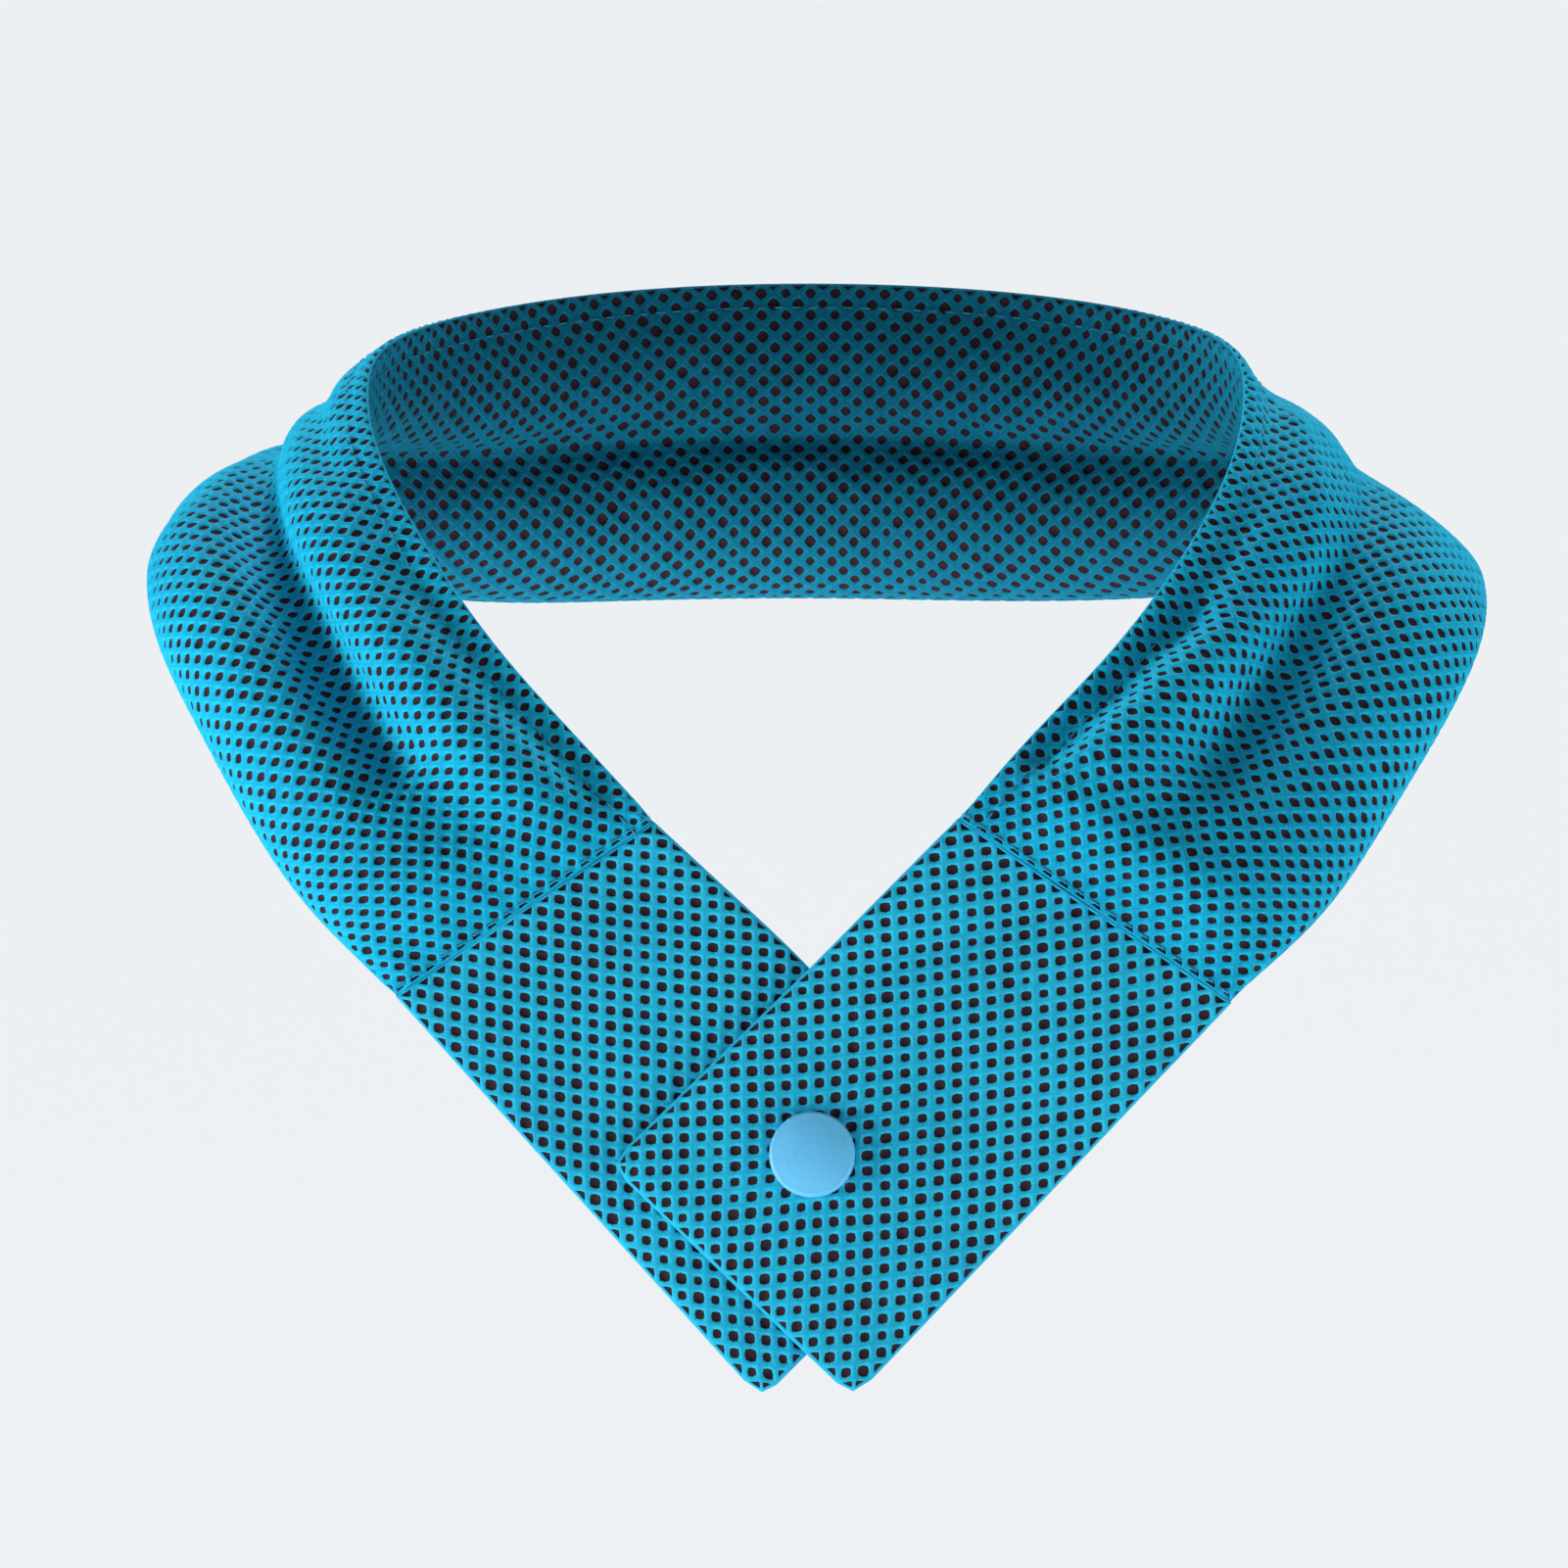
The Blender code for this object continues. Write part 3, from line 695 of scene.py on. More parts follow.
def open_knit_tree():
    """Presses a hole with a rounded rim and a lined floor into every marked face."""
    sockets = (
        ("Sides pitted", "Int", 1), ("Rim share", "Float", 0.80), ("Rim lift", "Float", 0.00006),
        ("Corner rounding", "Float", 0.2), ("Hole depth", "Float", 0.0003), ("Hole stretch", "Float", 0.3),
        ("Lining", "Material", None),
    )
    tree, bench, given = new_tree("open_knit", sockets)
    store = {"data_type": "FLOAT_VECTOR", "domain": "FACE"}
    centre = bench.node("GeometryNodeInputPosition")
    facing = bench.node("GeometryNodeInputNormal")
    mesh = bench.node(
        "GeometryNodeStoreNamedAttribute", dict(store),
        {"Geometry": given, "Name": "cell_centre", "Value": centre},
    )
    mesh = bench.node(
        "GeometryNodeStoreNamedAttribute", dict(store),
        {"Geometry": mesh, "Name": "cell_facing", "Value": facing},
    )
    side = bench.node("GeometryNodeInputMaterialIndex")
    below = bench.node(
        "FunctionNodeCompare", {"data_type": "INT", "operation": "LESS_THAN"},
        {"A": side, "B": given.other("Sides pitted")},
    )
    share = named(bench, "hole", "FLOAT")
    open_here = bench.node(
        "FunctionNodeCompare", {"data_type": "FLOAT", "operation": "GREATER_THAN"},
        {"A": share, "B": 0.01},
    )
    chosen = bench.node("FunctionNodeBooleanMath", {"operation": "AND"}, {0: below, 1: open_here})
    middle = named(bench, "cell_centre", "FLOAT_VECTOR")
    out_of = named(bench, "cell_facing", "FLOAT_VECTOR")
    across_band = named(bench, "across_band", "FLOAT_VECTOR")
    corner = named(bench, "corner", "FLOAT")
    rounded = 1 - corner * given.other("Corner rounding")
    position = bench.node("GeometryNodeInputPosition")
    arm = bench.vectors("SUBTRACT", position, middle)

    def drawn_in(mesh, top, arm, by, lift):
        arm_in = bench.vectors("SCALE", arm, by)
        rise = bench.vectors("SCALE", out_of, lift)
        target = bench.vectors("ADD", bench.vectors("ADD", middle, arm_in), rise)
        values = {"Geometry": mesh, "Selection": top, "Position": target}
        return bench.node("GeometryNodeSetPosition", {}, values)

    values = {"Mesh": mesh, "Selection": chosen, "Offset Scale": 0.0, "Individual": True}
    first = bench.node("GeometryNodeExtrudeMesh", {"mode": "FACES"}, values)
    rim = given.other("Rim share")
    mesh = drawn_in(first, first.other("Top"), arm, rim * rounded, given.other("Rim lift"))
    # Marks the rim ring of each hole, which the knit paints lighter as a painted highlight.
    mesh = bench.node(
        "GeometryNodeStoreNamedAttribute", {"data_type": "FLOAT", "domain": "POINT"},
        {"Geometry": mesh, "Selection": first.other("Top"), "Name": "rim", "Value": 1.0},
    )
    values = {"Mesh": mesh, "Selection": first.other("Top"), "Offset Scale": 0.0, "Individual": True}
    second = bench.node("GeometryNodeExtrudeMesh", {"mode": "FACES"}, values)
    deep = given.other("Hole depth") * -1.0 - given.other("Rim lift")
    longer = bench.vectors("DOT_PRODUCT", arm, across_band, "Value") * given.other("Hole stretch")
    arm = bench.vectors("ADD", arm, bench.vectors("SCALE", across_band, longer))
    mesh = drawn_in(second, second.other("Top"), arm, share / rim, deep)
    values = {"Geometry": mesh, "Selection": second.other("Top"), "Material": given.other("Lining")}
    mesh = bench.node("GeometryNodeSetMaterial", {}, values)
    close_tree(tree, bench, mesh)
    return tree


OPEN_KNIT = open_knit_tree()
print("open knit:", len(OPEN_KNIT.nodes), "nodes")


# %% From a grid to net cells
def net_mesh(name, grid, hole, cloth_mm, free_end=False):
    """One face for each hole of the net, from a grid with two points for each half step.

    hole gives each cell's hole share by its column and row, and cloth_mm each grid point's place on
    the cloth. Cells cut by the border are halves.
    """
    columns, rows = (grid.shape[0] - 1) // 2, (grid.shape[1] - 1) // 2
    index = np.full(grid.shape[:2], -1)
    a, b = np.meshgrid(np.arange(2 * columns + 1), np.arange(2 * rows + 1), indexing="ij")
    node = (a % 2 == 0) & (b % 2 == 0) & ((a // 2 + b // 2) % 2 == 0)
    strand = (a % 2 == 1) & (b % 2 == 1)
    used = node | strand
    index[used] = np.arange(used.sum())
    around = ((-2, 0), (-1, 1), (0, 2), (1, 1), (2, 0), (1, -1), (0, -2), (-1, -1))
    faces, shares, ways = [], [], []
    for i in range(columns + 1):
        for j in range(1 - i % 2, rows + 1, 2):
            ring = [(2 * i + x, 2 * j + y) for x, y in around]
            ring = [(x, y) for x, y in ring if 0 <= x <= 2 * columns and 0 <= y <= 2 * rows]
            share = hole(i, j)
            if share is None:
                continue
            faces.append([int(index[x, y]) for x, y in ring])
            shares.append(share)
            ways.append(grid[2 * i, min(2 * j + 2, 2 * rows)] - grid[2 * i, max(2 * j - 2, 0)])
    mesh = bpy.data.meshes.new(name)
    mesh.from_pydata(grid[used].tolist(), [], faces)
    mesh.attributes.new("hole", "FLOAT", "FACE").data.foreach_set("value", np.array(shares, np.float32))
    ways = unit(np.array(ways)).astype(np.float32).ravel()
    mesh.attributes.new("across_band", "FLOAT_VECTOR", "FACE").data.foreach_set("vector", ways)
    corner = mesh.attributes.new("corner", "FLOAT", "POINT")
    corner.data.foreach_set("value", node[used].astype(np.float32))
    corners = np.empty(len(mesh.loops), int)
    mesh.loops.foreach_get("vertex_index", corners)
    seam = mesh.attributes.new("seam", "FLOAT", "POINT")
    at_seam = (a == 0) | ((a == 2 * columns) & (not free_end))
    seam.data.foreach_set("value", at_seam[used].astype(np.float32))
    taper = mesh.attributes.new("taper", "FLOAT", "POINT")
    taper.data.foreach_set("value", border_taper(grid, free_end)[used].astype(np.float32))
    cloth = mesh.uv_layers.new(name="cloth_mm")
    cloth.data.foreach_set("uv", cloth_mm[used][corners].astype(np.float32).ravel())
    mesh.shade_smooth()
    return mesh


print("net cells ready")

# %% [markdown]
# ## Materials
# Four finishes make the wrap. The knit is a matt turquoise polyester with a faint sheen, fine loops along
# its strands and slow changes of tone. The inner face's copy of it is darker, painted shade for the inside
# of the loop, and the tails' copy is paler, painted glare. The rim round each hole is painted lighter, a
# painted highlight. Behind its holes lies the dark lining. The sewing thread is darker than the knit, and
# the snap is moulded plastic in a lighter blue, almost smooth, with a fine skin.


# %% Material helper
def new_material(name, roughness, sheen=0.0, sheen_tint=(1.0, 1.0, 1.0), specular=0.5):
    """A material with its constants set, and a bench for the rest."""
    material = bpy.data.materials.new(name)
    material.use_nodes = True
    shader = material.node_tree.nodes["Principled BSDF"]
    shader.inputs["Roughness"].default_value = roughness
    shader.inputs["Sheen Weight"].default_value = sheen
    shader.inputs["Sheen Roughness"].default_value = 0.4
    shader.inputs["Sheen Tint"].default_value = (*sheen_tint, 1.0)
    shader.inputs["Specular IOR Level"].default_value = specular
    return material, Bench(material.node_tree), shader


def plug(bench, wire, socket):
    """Links a wire to a shader's socket."""
    bench.tree.links.new(wire.socket, socket)


def mottle(bench, scale, detail=2.0):
    """Noise on the object's own coordinates, of this many grains to a metre."""
    place = bench.node("ShaderNodeTexCoord", {}, {}, "Object")
    return bench.node("ShaderNodeTexNoise", {}, {"Vector": place, "Scale": scale, "Detail": detail})


def emboss(bench, shader, height, strength, distance):
    """A Bump node from this height into the shader's normal."""
    values = {"Strength": strength, "Distance": distance, "Height": height}
    plug(bench, bench.node("ShaderNodeBump", {}, values), shader.inputs["Normal"])


# %% Knit, lining and thread
LOOP_LENGTH_MM = 0.55
LOOP_WIDTH_MM = 0.42
LOOP_LEAN = 0.22
DRIFT_SCALE = 22.0


def knit_material(name, light, deep):
    """Mesh knit: loops along the cloth, a tone that drifts slowly, and a painted highlight on the rim of
    each hole.
    """
    material, bench, shader = new_material(name, 0.8, sheen=0.15, sheen_tint=(0.1, 0.7, 1.0), specular=0.1)
    cloth = bench.node("ShaderNodeUVMap", {"uv_map": "cloth_mm"})
    split = bench.node("ShaderNodeSeparateXYZ", {}, {0: cloth})
    along, across = split, split.other("Y")
    lean = bench.maths("ABSOLUTE", bench.maths("SINE", across * (math.pi / LOOP_WIDTH_MM)))
    loops = bench.maths("SINE", (along + lean * LOOP_LEAN) * (2 * math.pi / LOOP_LENGTH_MM))
    fuzz = bench.node("ShaderNodeTexNoise", {}, {"Vector": cloth, "Scale": 3.2, "Detail": 3.0})
    relief = loops * 0.3 + lean * 0.5 + fuzz * 0.9
    emboss(bench, shader, relief, 0.35, 0.00012)
    drift = mottle(bench, DRIFT_SCALE)
    speck = bench.node("ShaderNodeTexNoise", {}, {"Vector": cloth, "Scale": 1.3, "Detail": 2.0})
    # The rim round each hole is painted lighter: a painted highlight.
    rim = bench.node("ShaderNodeAttribute", {"attribute_name": "rim"}, {}, "Fac")
    tone = (drift - 0.5) * 1.0 + (speck - 0.5) * 1.0 + loops * 0.06 + rim * 0.55 + 0.25
    plug(bench, bench.mix(tone, deep, light), shader.inputs["Base Color"])
    return material


def lining_material():
    """The dark layer that shows through the holes."""
    material, bench, shader = new_material("dark_lining", 0.9, specular=0.15)
    grain = mottle(bench, 900.0)
    plug(bench, bench.mix(grain, (0.010, 0.006, 0.012), (0.045, 0.022, 0.032)), shader.inputs["Base Color"])
    emboss(bench, shader, grain, 0.4, 0.0001)
    return material


KNIT = knit_material("mesh_knit", (0.006, 0.450, 0.680), (0.004, 0.260, 0.470))
# The inner face's knit is the same knit made darker: painted shade for the inside of the loop.
INNER_KNIT_PAINTED_SHADE = knit_material("mesh_knit_inner", (0.002, 0.208, 0.325), (0.002, 0.122, 0.215))
# The tails' knit is the same knit made paler: painted glare on the tails.
TAIL_KNIT_PAINTED_GLARE = knit_material("mesh_knit_tail", (0.020, 0.480, 0.700), (0.010, 0.310, 0.520))
LINING = lining_material()


def thread_material():
    """Sewing thread: twisted, and darker than the knit."""
    material, bench, shader = new_material("sewing_thread", 0.55, specular=0.3)
    twist = mottle(bench, 1500.0, 1.0)
    plug(bench, bench.mix(twist, (0.004, 0.120, 0.220), (0.020, 0.330, 0.500)), shader.inputs["Base Color"])
    emboss(bench, shader, twist, 0.5, 0.0001)
    return material


def snap_material():
    """Moulded plastic with a fine skin."""
    material, bench, shader = new_material("snap_plastic_skin", 0.48, specular=0.4)
    skin = mottle(bench, 2600.0)
    cloud = mottle(bench, 160.0)
    tone = (skin - 0.5) * 0.8 + (cloud - 0.5) * 0.9 + 0.5
    plug(bench, bench.mix(tone, (0.085, 0.400, 0.690), (0.125, 0.500, 0.800)), shader.inputs["Base Color"])
    emboss(bench, shader, skin, 0.25, 0.00006)
    return material


THREAD = thread_material()
SNAP_PLASTIC = snap_material()
print("materials:", [item.name for item in (KNIT, INNER_KNIT_PAINTED_SHADE, TAIL_KNIT_PAINTED_GLARE, LINING, THREAD, SNAP_PLASTIC)])

# %% [markdown]
# ## Finishing a net
# Each net starts as a single sheet of cells. A Solidify modifier gives it its back and its rim, so that
# the mesh is closed, and the open knit tree follows it. The evaluated result becomes a plain mesh.

# %% From net cells to cloth
RIM_SHARE = 0.80
BORDER_TAPER = (0.45, 0.80, 1.0)


def set_inputs(modifier, values):
    """Sets a tree's inputs by their identifiers."""
    items = modifier.node_group.interface.items_tree
    names = {item.name: item.identifier for item in items if item.item_type == "SOCKET"}
    for name, value in values.items():
        modifier[names[name]] = value


def plain_piece(rough, name):
    """The evaluated object as a plain mesh on an object of its own, in place of the rough one."""
    graph = bpy.context.evaluated_depsgraph_get()
    made = bpy.data.meshes.new_from_object(rough.evaluated_get(graph), depsgraph=graph)
    base = rough.data
    bpy.data.objects.remove(rough)
    bpy.data.meshes.remove(base)
    made.name = name
    piece = bpy.data.objects.new(name, made)
    scene.collection.objects.link(piece)
    made.calc_loop_triangles()
    print(name, "has", len(made.loop_triangles), "triangles")
    return piece


def border_taper(grid, free_end):
    """Share of the thickness at each grid point, less at the long edges and at a free end."""
    a = np.arange(grid.shape[0])[:, None] + np.zeros(grid.shape[1], int)
    b = np.arange(grid.shape[1])[None, :] + 0 * a
    steps_in = np.minimum(b, b.max() - b)
    if free_end:
        steps_in = np.minimum(steps_in, a.max() - a)
    return np.array(BORDER_TAPER)[np.minimum(steps_in, 2)]


def sharpen_seam(mesh):
    """Keeps the shading of the two cloths level where they meet at a seam."""
    at_seam = np.empty(len(mesh.vertices), np.float32)
    mesh.attributes["seam"].data.foreach_get("value", at_seam)
    ends = np.empty(2 * len(mesh.edges), int)
    mesh.edges.foreach_get("vertices", ends)
    sharp = (at_seam[ends.reshape(-1, 2)] > 0.99).all(axis=1)
    marks = mesh.attributes.get("sharp_edge") or mesh.attributes.new("sharp_edge", "BOOLEAN", "EDGE")
    marks.data.foreach_set("value", sharp)


def finish_net(mesh, thickness, offset, sides, knit, depth, stretch):
    """Gives the sheet of cells its thickness and its holes, and returns a plain object."""
    for _ in range(3):
        mesh.materials.append(knit)
    rough = bpy.data.objects.new(mesh.name + "_base", mesh)
    scene.collection.objects.link(rough)
    solid = rough.modifiers.new("thickness", "SOLIDIFY")
    solid.thickness = thickness
    solid.offset = offset
    solid.use_rim = True
    solid.material_offset = 1
    solid.material_offset_rim = 2
    group = rough.vertex_groups.new(name="thickness")
    for i, item in enumerate(mesh.attributes["taper"].data):
        group.add([i], item.value, "REPLACE")
    solid.vertex_group = "thickness"
    knitting = rough.modifiers.new("open_knit", "NODES")
    knitting.node_group = OPEN_KNIT
    values = {"Sides pitted": sides, "Rim share": RIM_SHARE, "Hole depth": depth}
    set_inputs(knitting, values | {"Hole stretch": stretch, "Lining": LINING})
    piece = plain_piece(rough, mesh.name)
    cloth = piece.data
    sharpen_seam(cloth)
    for spare in ("cell_centre", "cell_facing", "across_band", "hole", "corner", "taper", "seam"):
        if spare in cloth.attributes:
            cloth.attributes.remove(cloth.attributes[spare])
    return piece


# %% The sleeve's two faces
SHELL_THICKNESS = 0.0007
HOLE_DEPTH = 0.00026
OUTER_HOLES = (0.52, 0.30)
INNER_HOLES = (0.58, 0.10)
HOLE_SPREAD = 0.09
chance = np.random.default_rng(7)


def length_along(points):
    """Length from the first point to each, in millimetres."""
    steps = np.linalg.norm(np.diff(points, axis=0), axis=-1)
    return np.concatenate([[0.0], np.cumsum(steps)]) * 1000


def sleeve_face(name, first, last, knit, holes):
    """One face of the sleeve, from one grid row to another."""
    part = sleeve_grid[:, first : last + 1]
    middle = part[:, part.shape[1] // 2]
    u = length_along(middle)[:, None] + 0 * part[..., 0]
    v = np.stack([length_along(section) for section in part])
    share, stretch = holes

    def hole(i, j):
        return share * (1 + HOLE_SPREAD * chance.standard_normal())

    mesh = net_mesh(name, part, hole, np.stack([u, v], axis=-1))
    mesh.flip_normals()
    return finish_net(mesh, SHELL_THICKNESS, -1.0, 1, knit, HOLE_DEPTH, stretch)


sleeve_outer = sleeve_face("sleeve_outer_knit", 0, 2 * HALF_ROWS, KNIT, OUTER_HOLES)
# The inner face takes the darker knit, which is painted shade.
sleeve_inner = sleeve_face("sleeve_inner_knit", 2 * HALF_ROWS, 4 * HALF_ROWS, INNER_KNIT_PAINTED_SHADE, INNER_HOLES)

# %% [markdown]
# ## Sewing
# One row of machine stitches runs along the hem on each face of the sleeve, and one row closes each seam.
# Geometry Nodes turn a drawn line into evenly spaced points and lay one bead of thread on each, turned
# along the line and kept flat on the cloth. A new pitch or thread is one number.


# %% Geometry Nodes: stitches
def stitch_tree():
    """Lays beads of thread along the edges of a mesh."""
    sockets = (
        ("Pitch", "Float", 0.0032), ("Stitch length", "Float", 0.0024),
        ("Thread radius", "Float", 0.0002), ("Thread", "Material", None),
    )
    tree, bench, given = new_tree("stitches", sockets)
    curve = bench.node("GeometryNodeMeshToCurve", {}, {"Mesh": given})
    values = {"Curve": curve, "Length": given.other("Pitch")}
    curve = bench.node("GeometryNodeResampleCurve", {"mode": "LENGTH"}, values)
    bead = bench.node("GeometryNodeMeshUVSphere", {}, {"Segments": 6, "Rings": 5, "Radius": 1.0})
    radius = given.other("Thread radius")
    half = given.other("Stitch length") * 0.5
    size = bench.node("ShaderNodeCombineXYZ", {}, {0: half, 1: radius, 2: radius})
    bead = bench.node("GeometryNodeTransform", {}, {"Geometry": bead, "Scale": size})
    tangent = bench.node("GeometryNodeInputTangent")
    turned = bench.node("FunctionNodeAlignRotationToVector", {"axis": "X"}, {"Vector": tangent})
    turned = bench.node(
        "FunctionNodeAlignRotationToVector", {"axis": "Z", "pivot_axis": "X"},
        {"Rotation": turned, "Vector": named(bench, "facing", "FLOAT_VECTOR")},
    )
    values = {"Points": curve, "Instance": bead, "Rotation": turned}
    beads = bench.node("GeometryNodeInstanceOnPoints", {}, values)
    beads = bench.node("GeometryNodeRealizeInstances", {}, {"Geometry": beads})
    values = {"Geometry": beads, "Material": given.other("Thread")}
    beads = bench.node("GeometryNodeSetMaterial", {}, values)
    close_tree(tree, bench, beads)
    return tree


STITCHES = stitch_tree()
print("stitches:", len(STITCHES.nodes), "nodes")

# %% Stitch rows on the sleeve
HEM_STITCH_ROUND = 1.15
SEAM_STITCH_COLUMN = 1
STITCH_PITCH = 0.0031
STITCH_LENGTH = 0.0023
THREAD_RADIUS = 0.0002
THREAD_LIFT = 0.4 * THREAD_RADIUS
sleeve_normals = grid_normals(sleeve_grid)


def hem_row(around):
    """Points and normals along the sleeve at one place round it."""
    at = np.array([np.interp(around, row, np.arange(len(row))) for row in sleeve_rounds])
    low = np.floor(at).astype(int)
    share = (at - low)[:, None]
    row = np.arange(len(at))
    points = (1 - share) * sleeve_grid[row, low] + share * sleeve_grid[row, low + 1]
    return points, sleeve_normals[row, low]


def seam_row(column, first, last):
    """Points and normals across the band at one grid row."""
    return sleeve_grid[column, first:last], sleeve_normals[column, first:last]


def sewn_rows(name, rows):
    """All rows of stitches as one plain object."""
    points = np.concatenate([row[0] + row[1] * THREAD_LIFT for row in rows])
    facing = np.concatenate([row[1] for row in rows])
    starts = np.cumsum([0] + [len(row[0]) for row in rows])
    edges = [(k, k + 1) for start, end in zip(starts, starts[1:]) for k in range(start, end - 1)]
    mesh = bpy.data.meshes.new(name + "_lines")
    mesh.from_pydata(points.tolist(), edges, [])
    way = mesh.attributes.new("facing", "FLOAT_VECTOR", "POINT")
    way.data.foreach_set("vector", facing.astype(np.float32).ravel())
    rough = bpy.data.objects.new(name + "_lines", mesh)
    scene.collection.objects.link(rough)
    sewing = rough.modifiers.new("stitches", "NODES")
    sewing.node_group = STITCHES
    values = {"Pitch": STITCH_PITCH, "Stitch length": STITCH_LENGTH}
    set_inputs(sewing, values | {"Thread radius": THREAD_RADIUS, "Thread": THREAD})
    piece = plain_piece(rough, name)
    piece.data.shade_smooth()
    return piece


outer_span = (2, 2 * HALF_ROWS - 2)
inner_span = (2 * HALF_ROWS + 3, 4 * HALF_ROWS - 2)
stitch_rows = [hem_row(HEM_STITCH_ROUND), hem_row(RING_POINTS - 1 - HEM_STITCH_ROUND)]
for column in (SEAM_STITCH_COLUMN, len(places) - 1 - SEAM_STITCH_COLUMN):
    stitch_rows += [seam_row(column, *outer_span), seam_row(column, *inner_span)]
sleeve_stitches = sewn_rows("sleeve_stitches", stitch_rows)

# %% [markdown]
# ## The two tails
# A tail is two layers of the same net, sewn flat. Its lattice follows its own edges: the upper edge turns
# a little where the two tails cross, so the rows of holes turn with it. The border tapers like a folded
# edge, the net is drawn in a little round the snap, and a few cells are left out where its post goes
# through.

# %% The tails' lattice
TAIL_HALF_ROWS = 30
TAIL_HALF_COLUMNS = 42
KINK_REACH = 0.012
TAIL_HOLE_DEPTH = 0.00025
TAIL_HOLES = (0.60, 0.05)
TAIL_HOLE_SPREAD = 0.08
POST_GAP = 0.0035
SNAP_PLACE = np.array([0.0, -SNAP_DROP])
SNAP_DRAW = 0.13
SNAP_DRAW_REACH = 0.010
WAVE_HEIGHT = 0.00030
RIPPLE_HEIGHT = 0.00018
OVERLAP_DENT = 0.00055


def bent_edge(start, end, lengths):
    """Points along an edge from start to end that turns softly at the crossing."""
    into = -unit(start)
    out = unit(end)
    reach = np.linalg.norm(start)
    past = lengths - reach
    straight = np.where(past[:, None] < 0, past[:, None] * into, past[:, None] * out)
    near = np.clip(past + KINK_REACH, 0.0, 2 * KINK_REACH)[:, None]
    soft = -KINK_REACH * into + into * near + (out - into) * near**2 / (4 * KINK_REACH)
    inside = (np.abs(past) < KINK_REACH)[:, None]
    return np.where(inside, soft, straight)


def tail_relief(x, y):
    """How far the tails stand off the chest plane at a place: slow waves, and flat under the snap."""
    wave = WAVE_HEIGHT * np.sin(x / 0.0105 + 1.9 * np.sin(y / 0.021)) * np.sin(y / 0.0125 + 0.8)
    wave += RIPPLE_HEIGHT * np.sin((x + y) / 0.0052 + 1.1) * np.sin((x - y) / 0.0094)
    wave -= OVERLAP_DENT * bump_at(y + 0.003 - 0.30 * x, 0.004) * smooth_step((x + 0.004) / 0.008)
    from_snap = np.hypot(x, y + SNAP_DROP)
    return (wave - 0.0003) * smooth_step((from_snap - 0.008) / 0.012) - 0.0001 * bump_at(from_snap, 0.012)


def round_corner(points, corner, before, after):
    """Moves the points near a square corner onto its arc."""
    b, c = unit(before - corner), unit(after - corner)
    moved = points.copy()
    x = (points - corner) @ b
    y = (points - corner) @ c
    near = (x < TAIL_CORNER) & (y < TAIL_CORNER)
    px, py = TAIL_CORNER - x, TAIL_CORNER - y
    far = np.hypot(px, py)
    widest = np.maximum(px, py)
    pull = np.where(near & (far > 1e-9), widest / np.maximum(far, 1e-9), 1.0)
    moved[..., 0] = corner[0] + (TAIL_CORNER - px * pull) * b[0] + (TAIL_CORNER - py * pull) * c[0]
    moved[..., 1] = corner[1] + (TAIL_CORNER - px * pull) * b[1] + (TAIL_CORNER - py * pull) * c[1]
    return np.where(near[..., None], moved, points)


def tail_grid(tail):
    """The tail's grid in the chest plane and in space."""
    seam_upper, _, end_upper, end_lower, seam_lower = tail_corners(tail)
    p = np.linspace(0.0, 1.0, 2 * TAIL_HALF_COLUMNS + 1)
    q = np.linspace(0.0, 1.0, 2 * TAIL_HALF_ROWS + 1)
    upper_length = np.linalg.norm(seam_upper) + np.linalg.norm(end_upper)
    upper = bent_edge(seam_upper, end_upper, p * upper_length)
    lower = seam_lower + p[:, None] * (end_lower - seam_lower)
    flat = upper[:, None] * (1 - q[None, :, None]) + lower[:, None] * q[None, :, None]
    flat = round_corner(flat, end_upper, upper[0], end_lower)
    flat = round_corner(flat, end_lower, end_upper, seam_lower)
    arm = flat - SNAP_PLACE
    flat = flat - SNAP_DRAW * arm * bump_at(np.linalg.norm(arm, axis=-1), SNAP_DRAW_REACH)[..., None]
    relief = tail_relief(flat[..., 0], flat[..., 1])
    front = tail["layer"] * LAYER_OFFSET + relief
    points = CROSSING + flat[..., :1] * CHEST_RIGHT + flat[..., 1:] * CHEST_UP
    points = points + front[..., None] * CHEST_FRONT
    return flat, points


def make_tail(tail):
    """One tail as a plain closed mesh."""
    flat, points = tail_grid(tail)
    if tail["side"] < 0:
        flat, points = flat[:, ::-1], points[:, ::-1]
    share, stretch = TAIL_HOLES

    def hole(i, j):
        if np.linalg.norm(flat[2 * i, 2 * j] - SNAP_PLACE) < POST_GAP:
            return None
        return share * (1 + TAIL_HOLE_SPREAD * chance.standard_normal())

    mesh = net_mesh(tail["name"] + "_knit", points, hole, flat * 1000, free_end=True)
    # The tails take the paler knit, which is painted glare.
    return finish_net(mesh, CLOTH_THICKNESS, 0.0, 2, TAIL_KNIT_PAINTED_GLARE, TAIL_HOLE_DEPTH, stretch)


tail_pieces = [make_tail(tail) for tail in TAILS]

# %% [markdown]
# ## Riding and replacing
# Each new piece rides on the one body of the model, and the plain solid that it replaces is hidden. The
# snap keeps its own solids and takes the plastic.

# %% Ride and replace
for piece in (sleeve_outer, sleeve_inner):
    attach(piece, "root")
    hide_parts("padded_sleeve")
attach(sleeve_stitches, "root")
for name in ("snap_cap", "snap_stud"):
    snap_part = bpy.data.objects[name]
    for slot in snap_part.material_slots:
        slot.material = SNAP_PLASTIC
for piece, tail in zip(tail_pieces, TAILS):
    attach(piece, "root")
    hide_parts(tail["name"])

# %% [markdown]
# ## Floor and light
# The wrap floats high above a pale floor, so wide that it fills the background. The key is a soft light
# from the left, a little below the eye, and a weaker and larger one from low on the right opens the
# shadows. A small light from below lifts the chest. One weak sun lights the top, and one from behind and
# above lights the floor and hardly reaches the front. A pale sky does the rest.

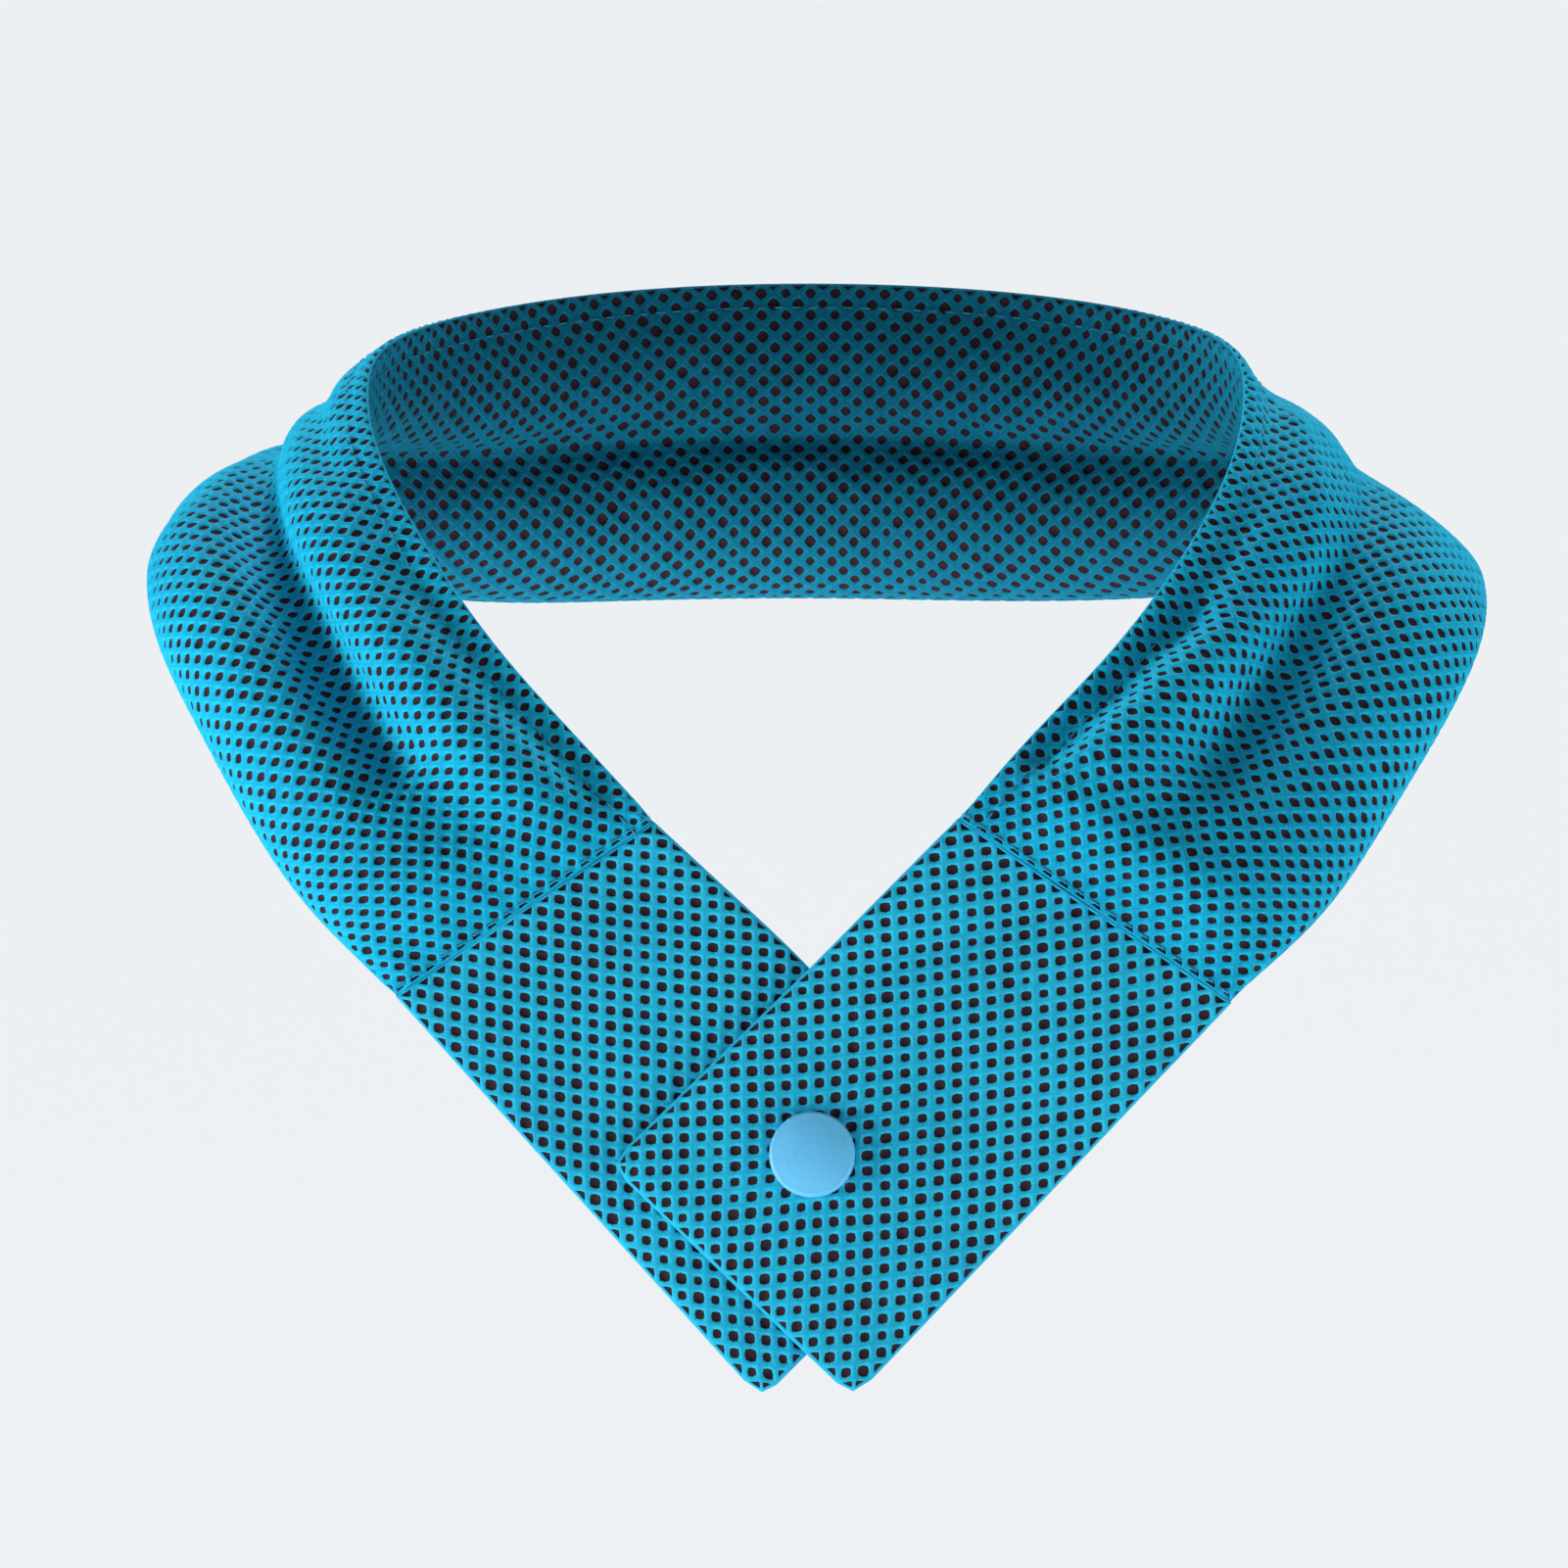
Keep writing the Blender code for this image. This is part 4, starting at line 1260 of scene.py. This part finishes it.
# %% Floor, lights and sky
FLOOR_HEIGHT = -0.90
FLOOR_SIZE = 200.0
FLOOR_COLOUR = (0.82, 0.84, 0.86, 1.0)
SKY_COLOUR = (0.93, 0.96, 1.0, 1.0)
SKY_STRENGTH = 0.15
# Each row: a name, a kind, a place (for a sun the way to it), a size in metres (for a sun its spread in
# degrees) and a power.
LIGHTS = (
    ("key", "AREA", (-0.90, -0.42, -0.14), 0.25, 9.0),
    ("fill", "AREA", (0.80, -0.54, -0.38), 0.40, 4.4),
    ("top", "SUN", (0.15, 0.10, 0.98), 40.0, 0.5),
    ("floor_light", "SUN", (0.10, 0.60, 0.79), 20.0, 2.9),
    ("chest", "AREA", (-0.20, -0.62, -0.44), 0.30, 1.2),
)


def flat_floor():
    """A large pale floor."""
    material, bench, shader = new_material("pale_floor", 0.9, specular=0.1)
    shader.inputs["Base Color"].default_value = FLOOR_COLOUR
    half = FLOOR_SIZE / 2
    mesh = bpy.data.meshes.new("floor")
    square = ((-half, -half), (half, -half), (half, half), (-half, half))
    mesh.from_pydata([(x, y, FLOOR_HEIGHT) for x, y in square], [], [(0, 1, 2, 3)])
    mesh.materials.append(material)
    floor = bpy.data.objects.new("floor", mesh)
    scene.collection.objects.link(floor)


def add_light(name, kind, place, softness, power):
    """A light turned to the wrap, with softer shadows the larger it is or the wider its spread."""
    data = bpy.data.lights.new(name, kind)
    data.energy = power
    place = np.array(place)
    if kind == "SUN":
        data.angle = math.radians(softness)
        place = LOOK_AT + 2 * unit(place)
    else:
        data.size = softness
    light = bpy.data.objects.new(name, data)
    scene.collection.objects.link(light)
    light.location = place
    aim = unit(LOOK_AT - place)
    light.rotation_euler = (math.acos(-aim[2]), 0.0, math.atan2(aim[1], aim[0]) - math.pi / 2)


flat_floor()
for row in LIGHTS:
    add_light(*row)
sky = bpy.data.worlds.new("sky")
sky.use_nodes = True
backdrop = sky.node_tree.nodes["Background"]
backdrop.inputs["Color"].default_value = SKY_COLOUR
backdrop.inputs["Strength"].default_value = SKY_STRENGTH
scene.world = sky
scene.view_settings.view_transform = "Standard"
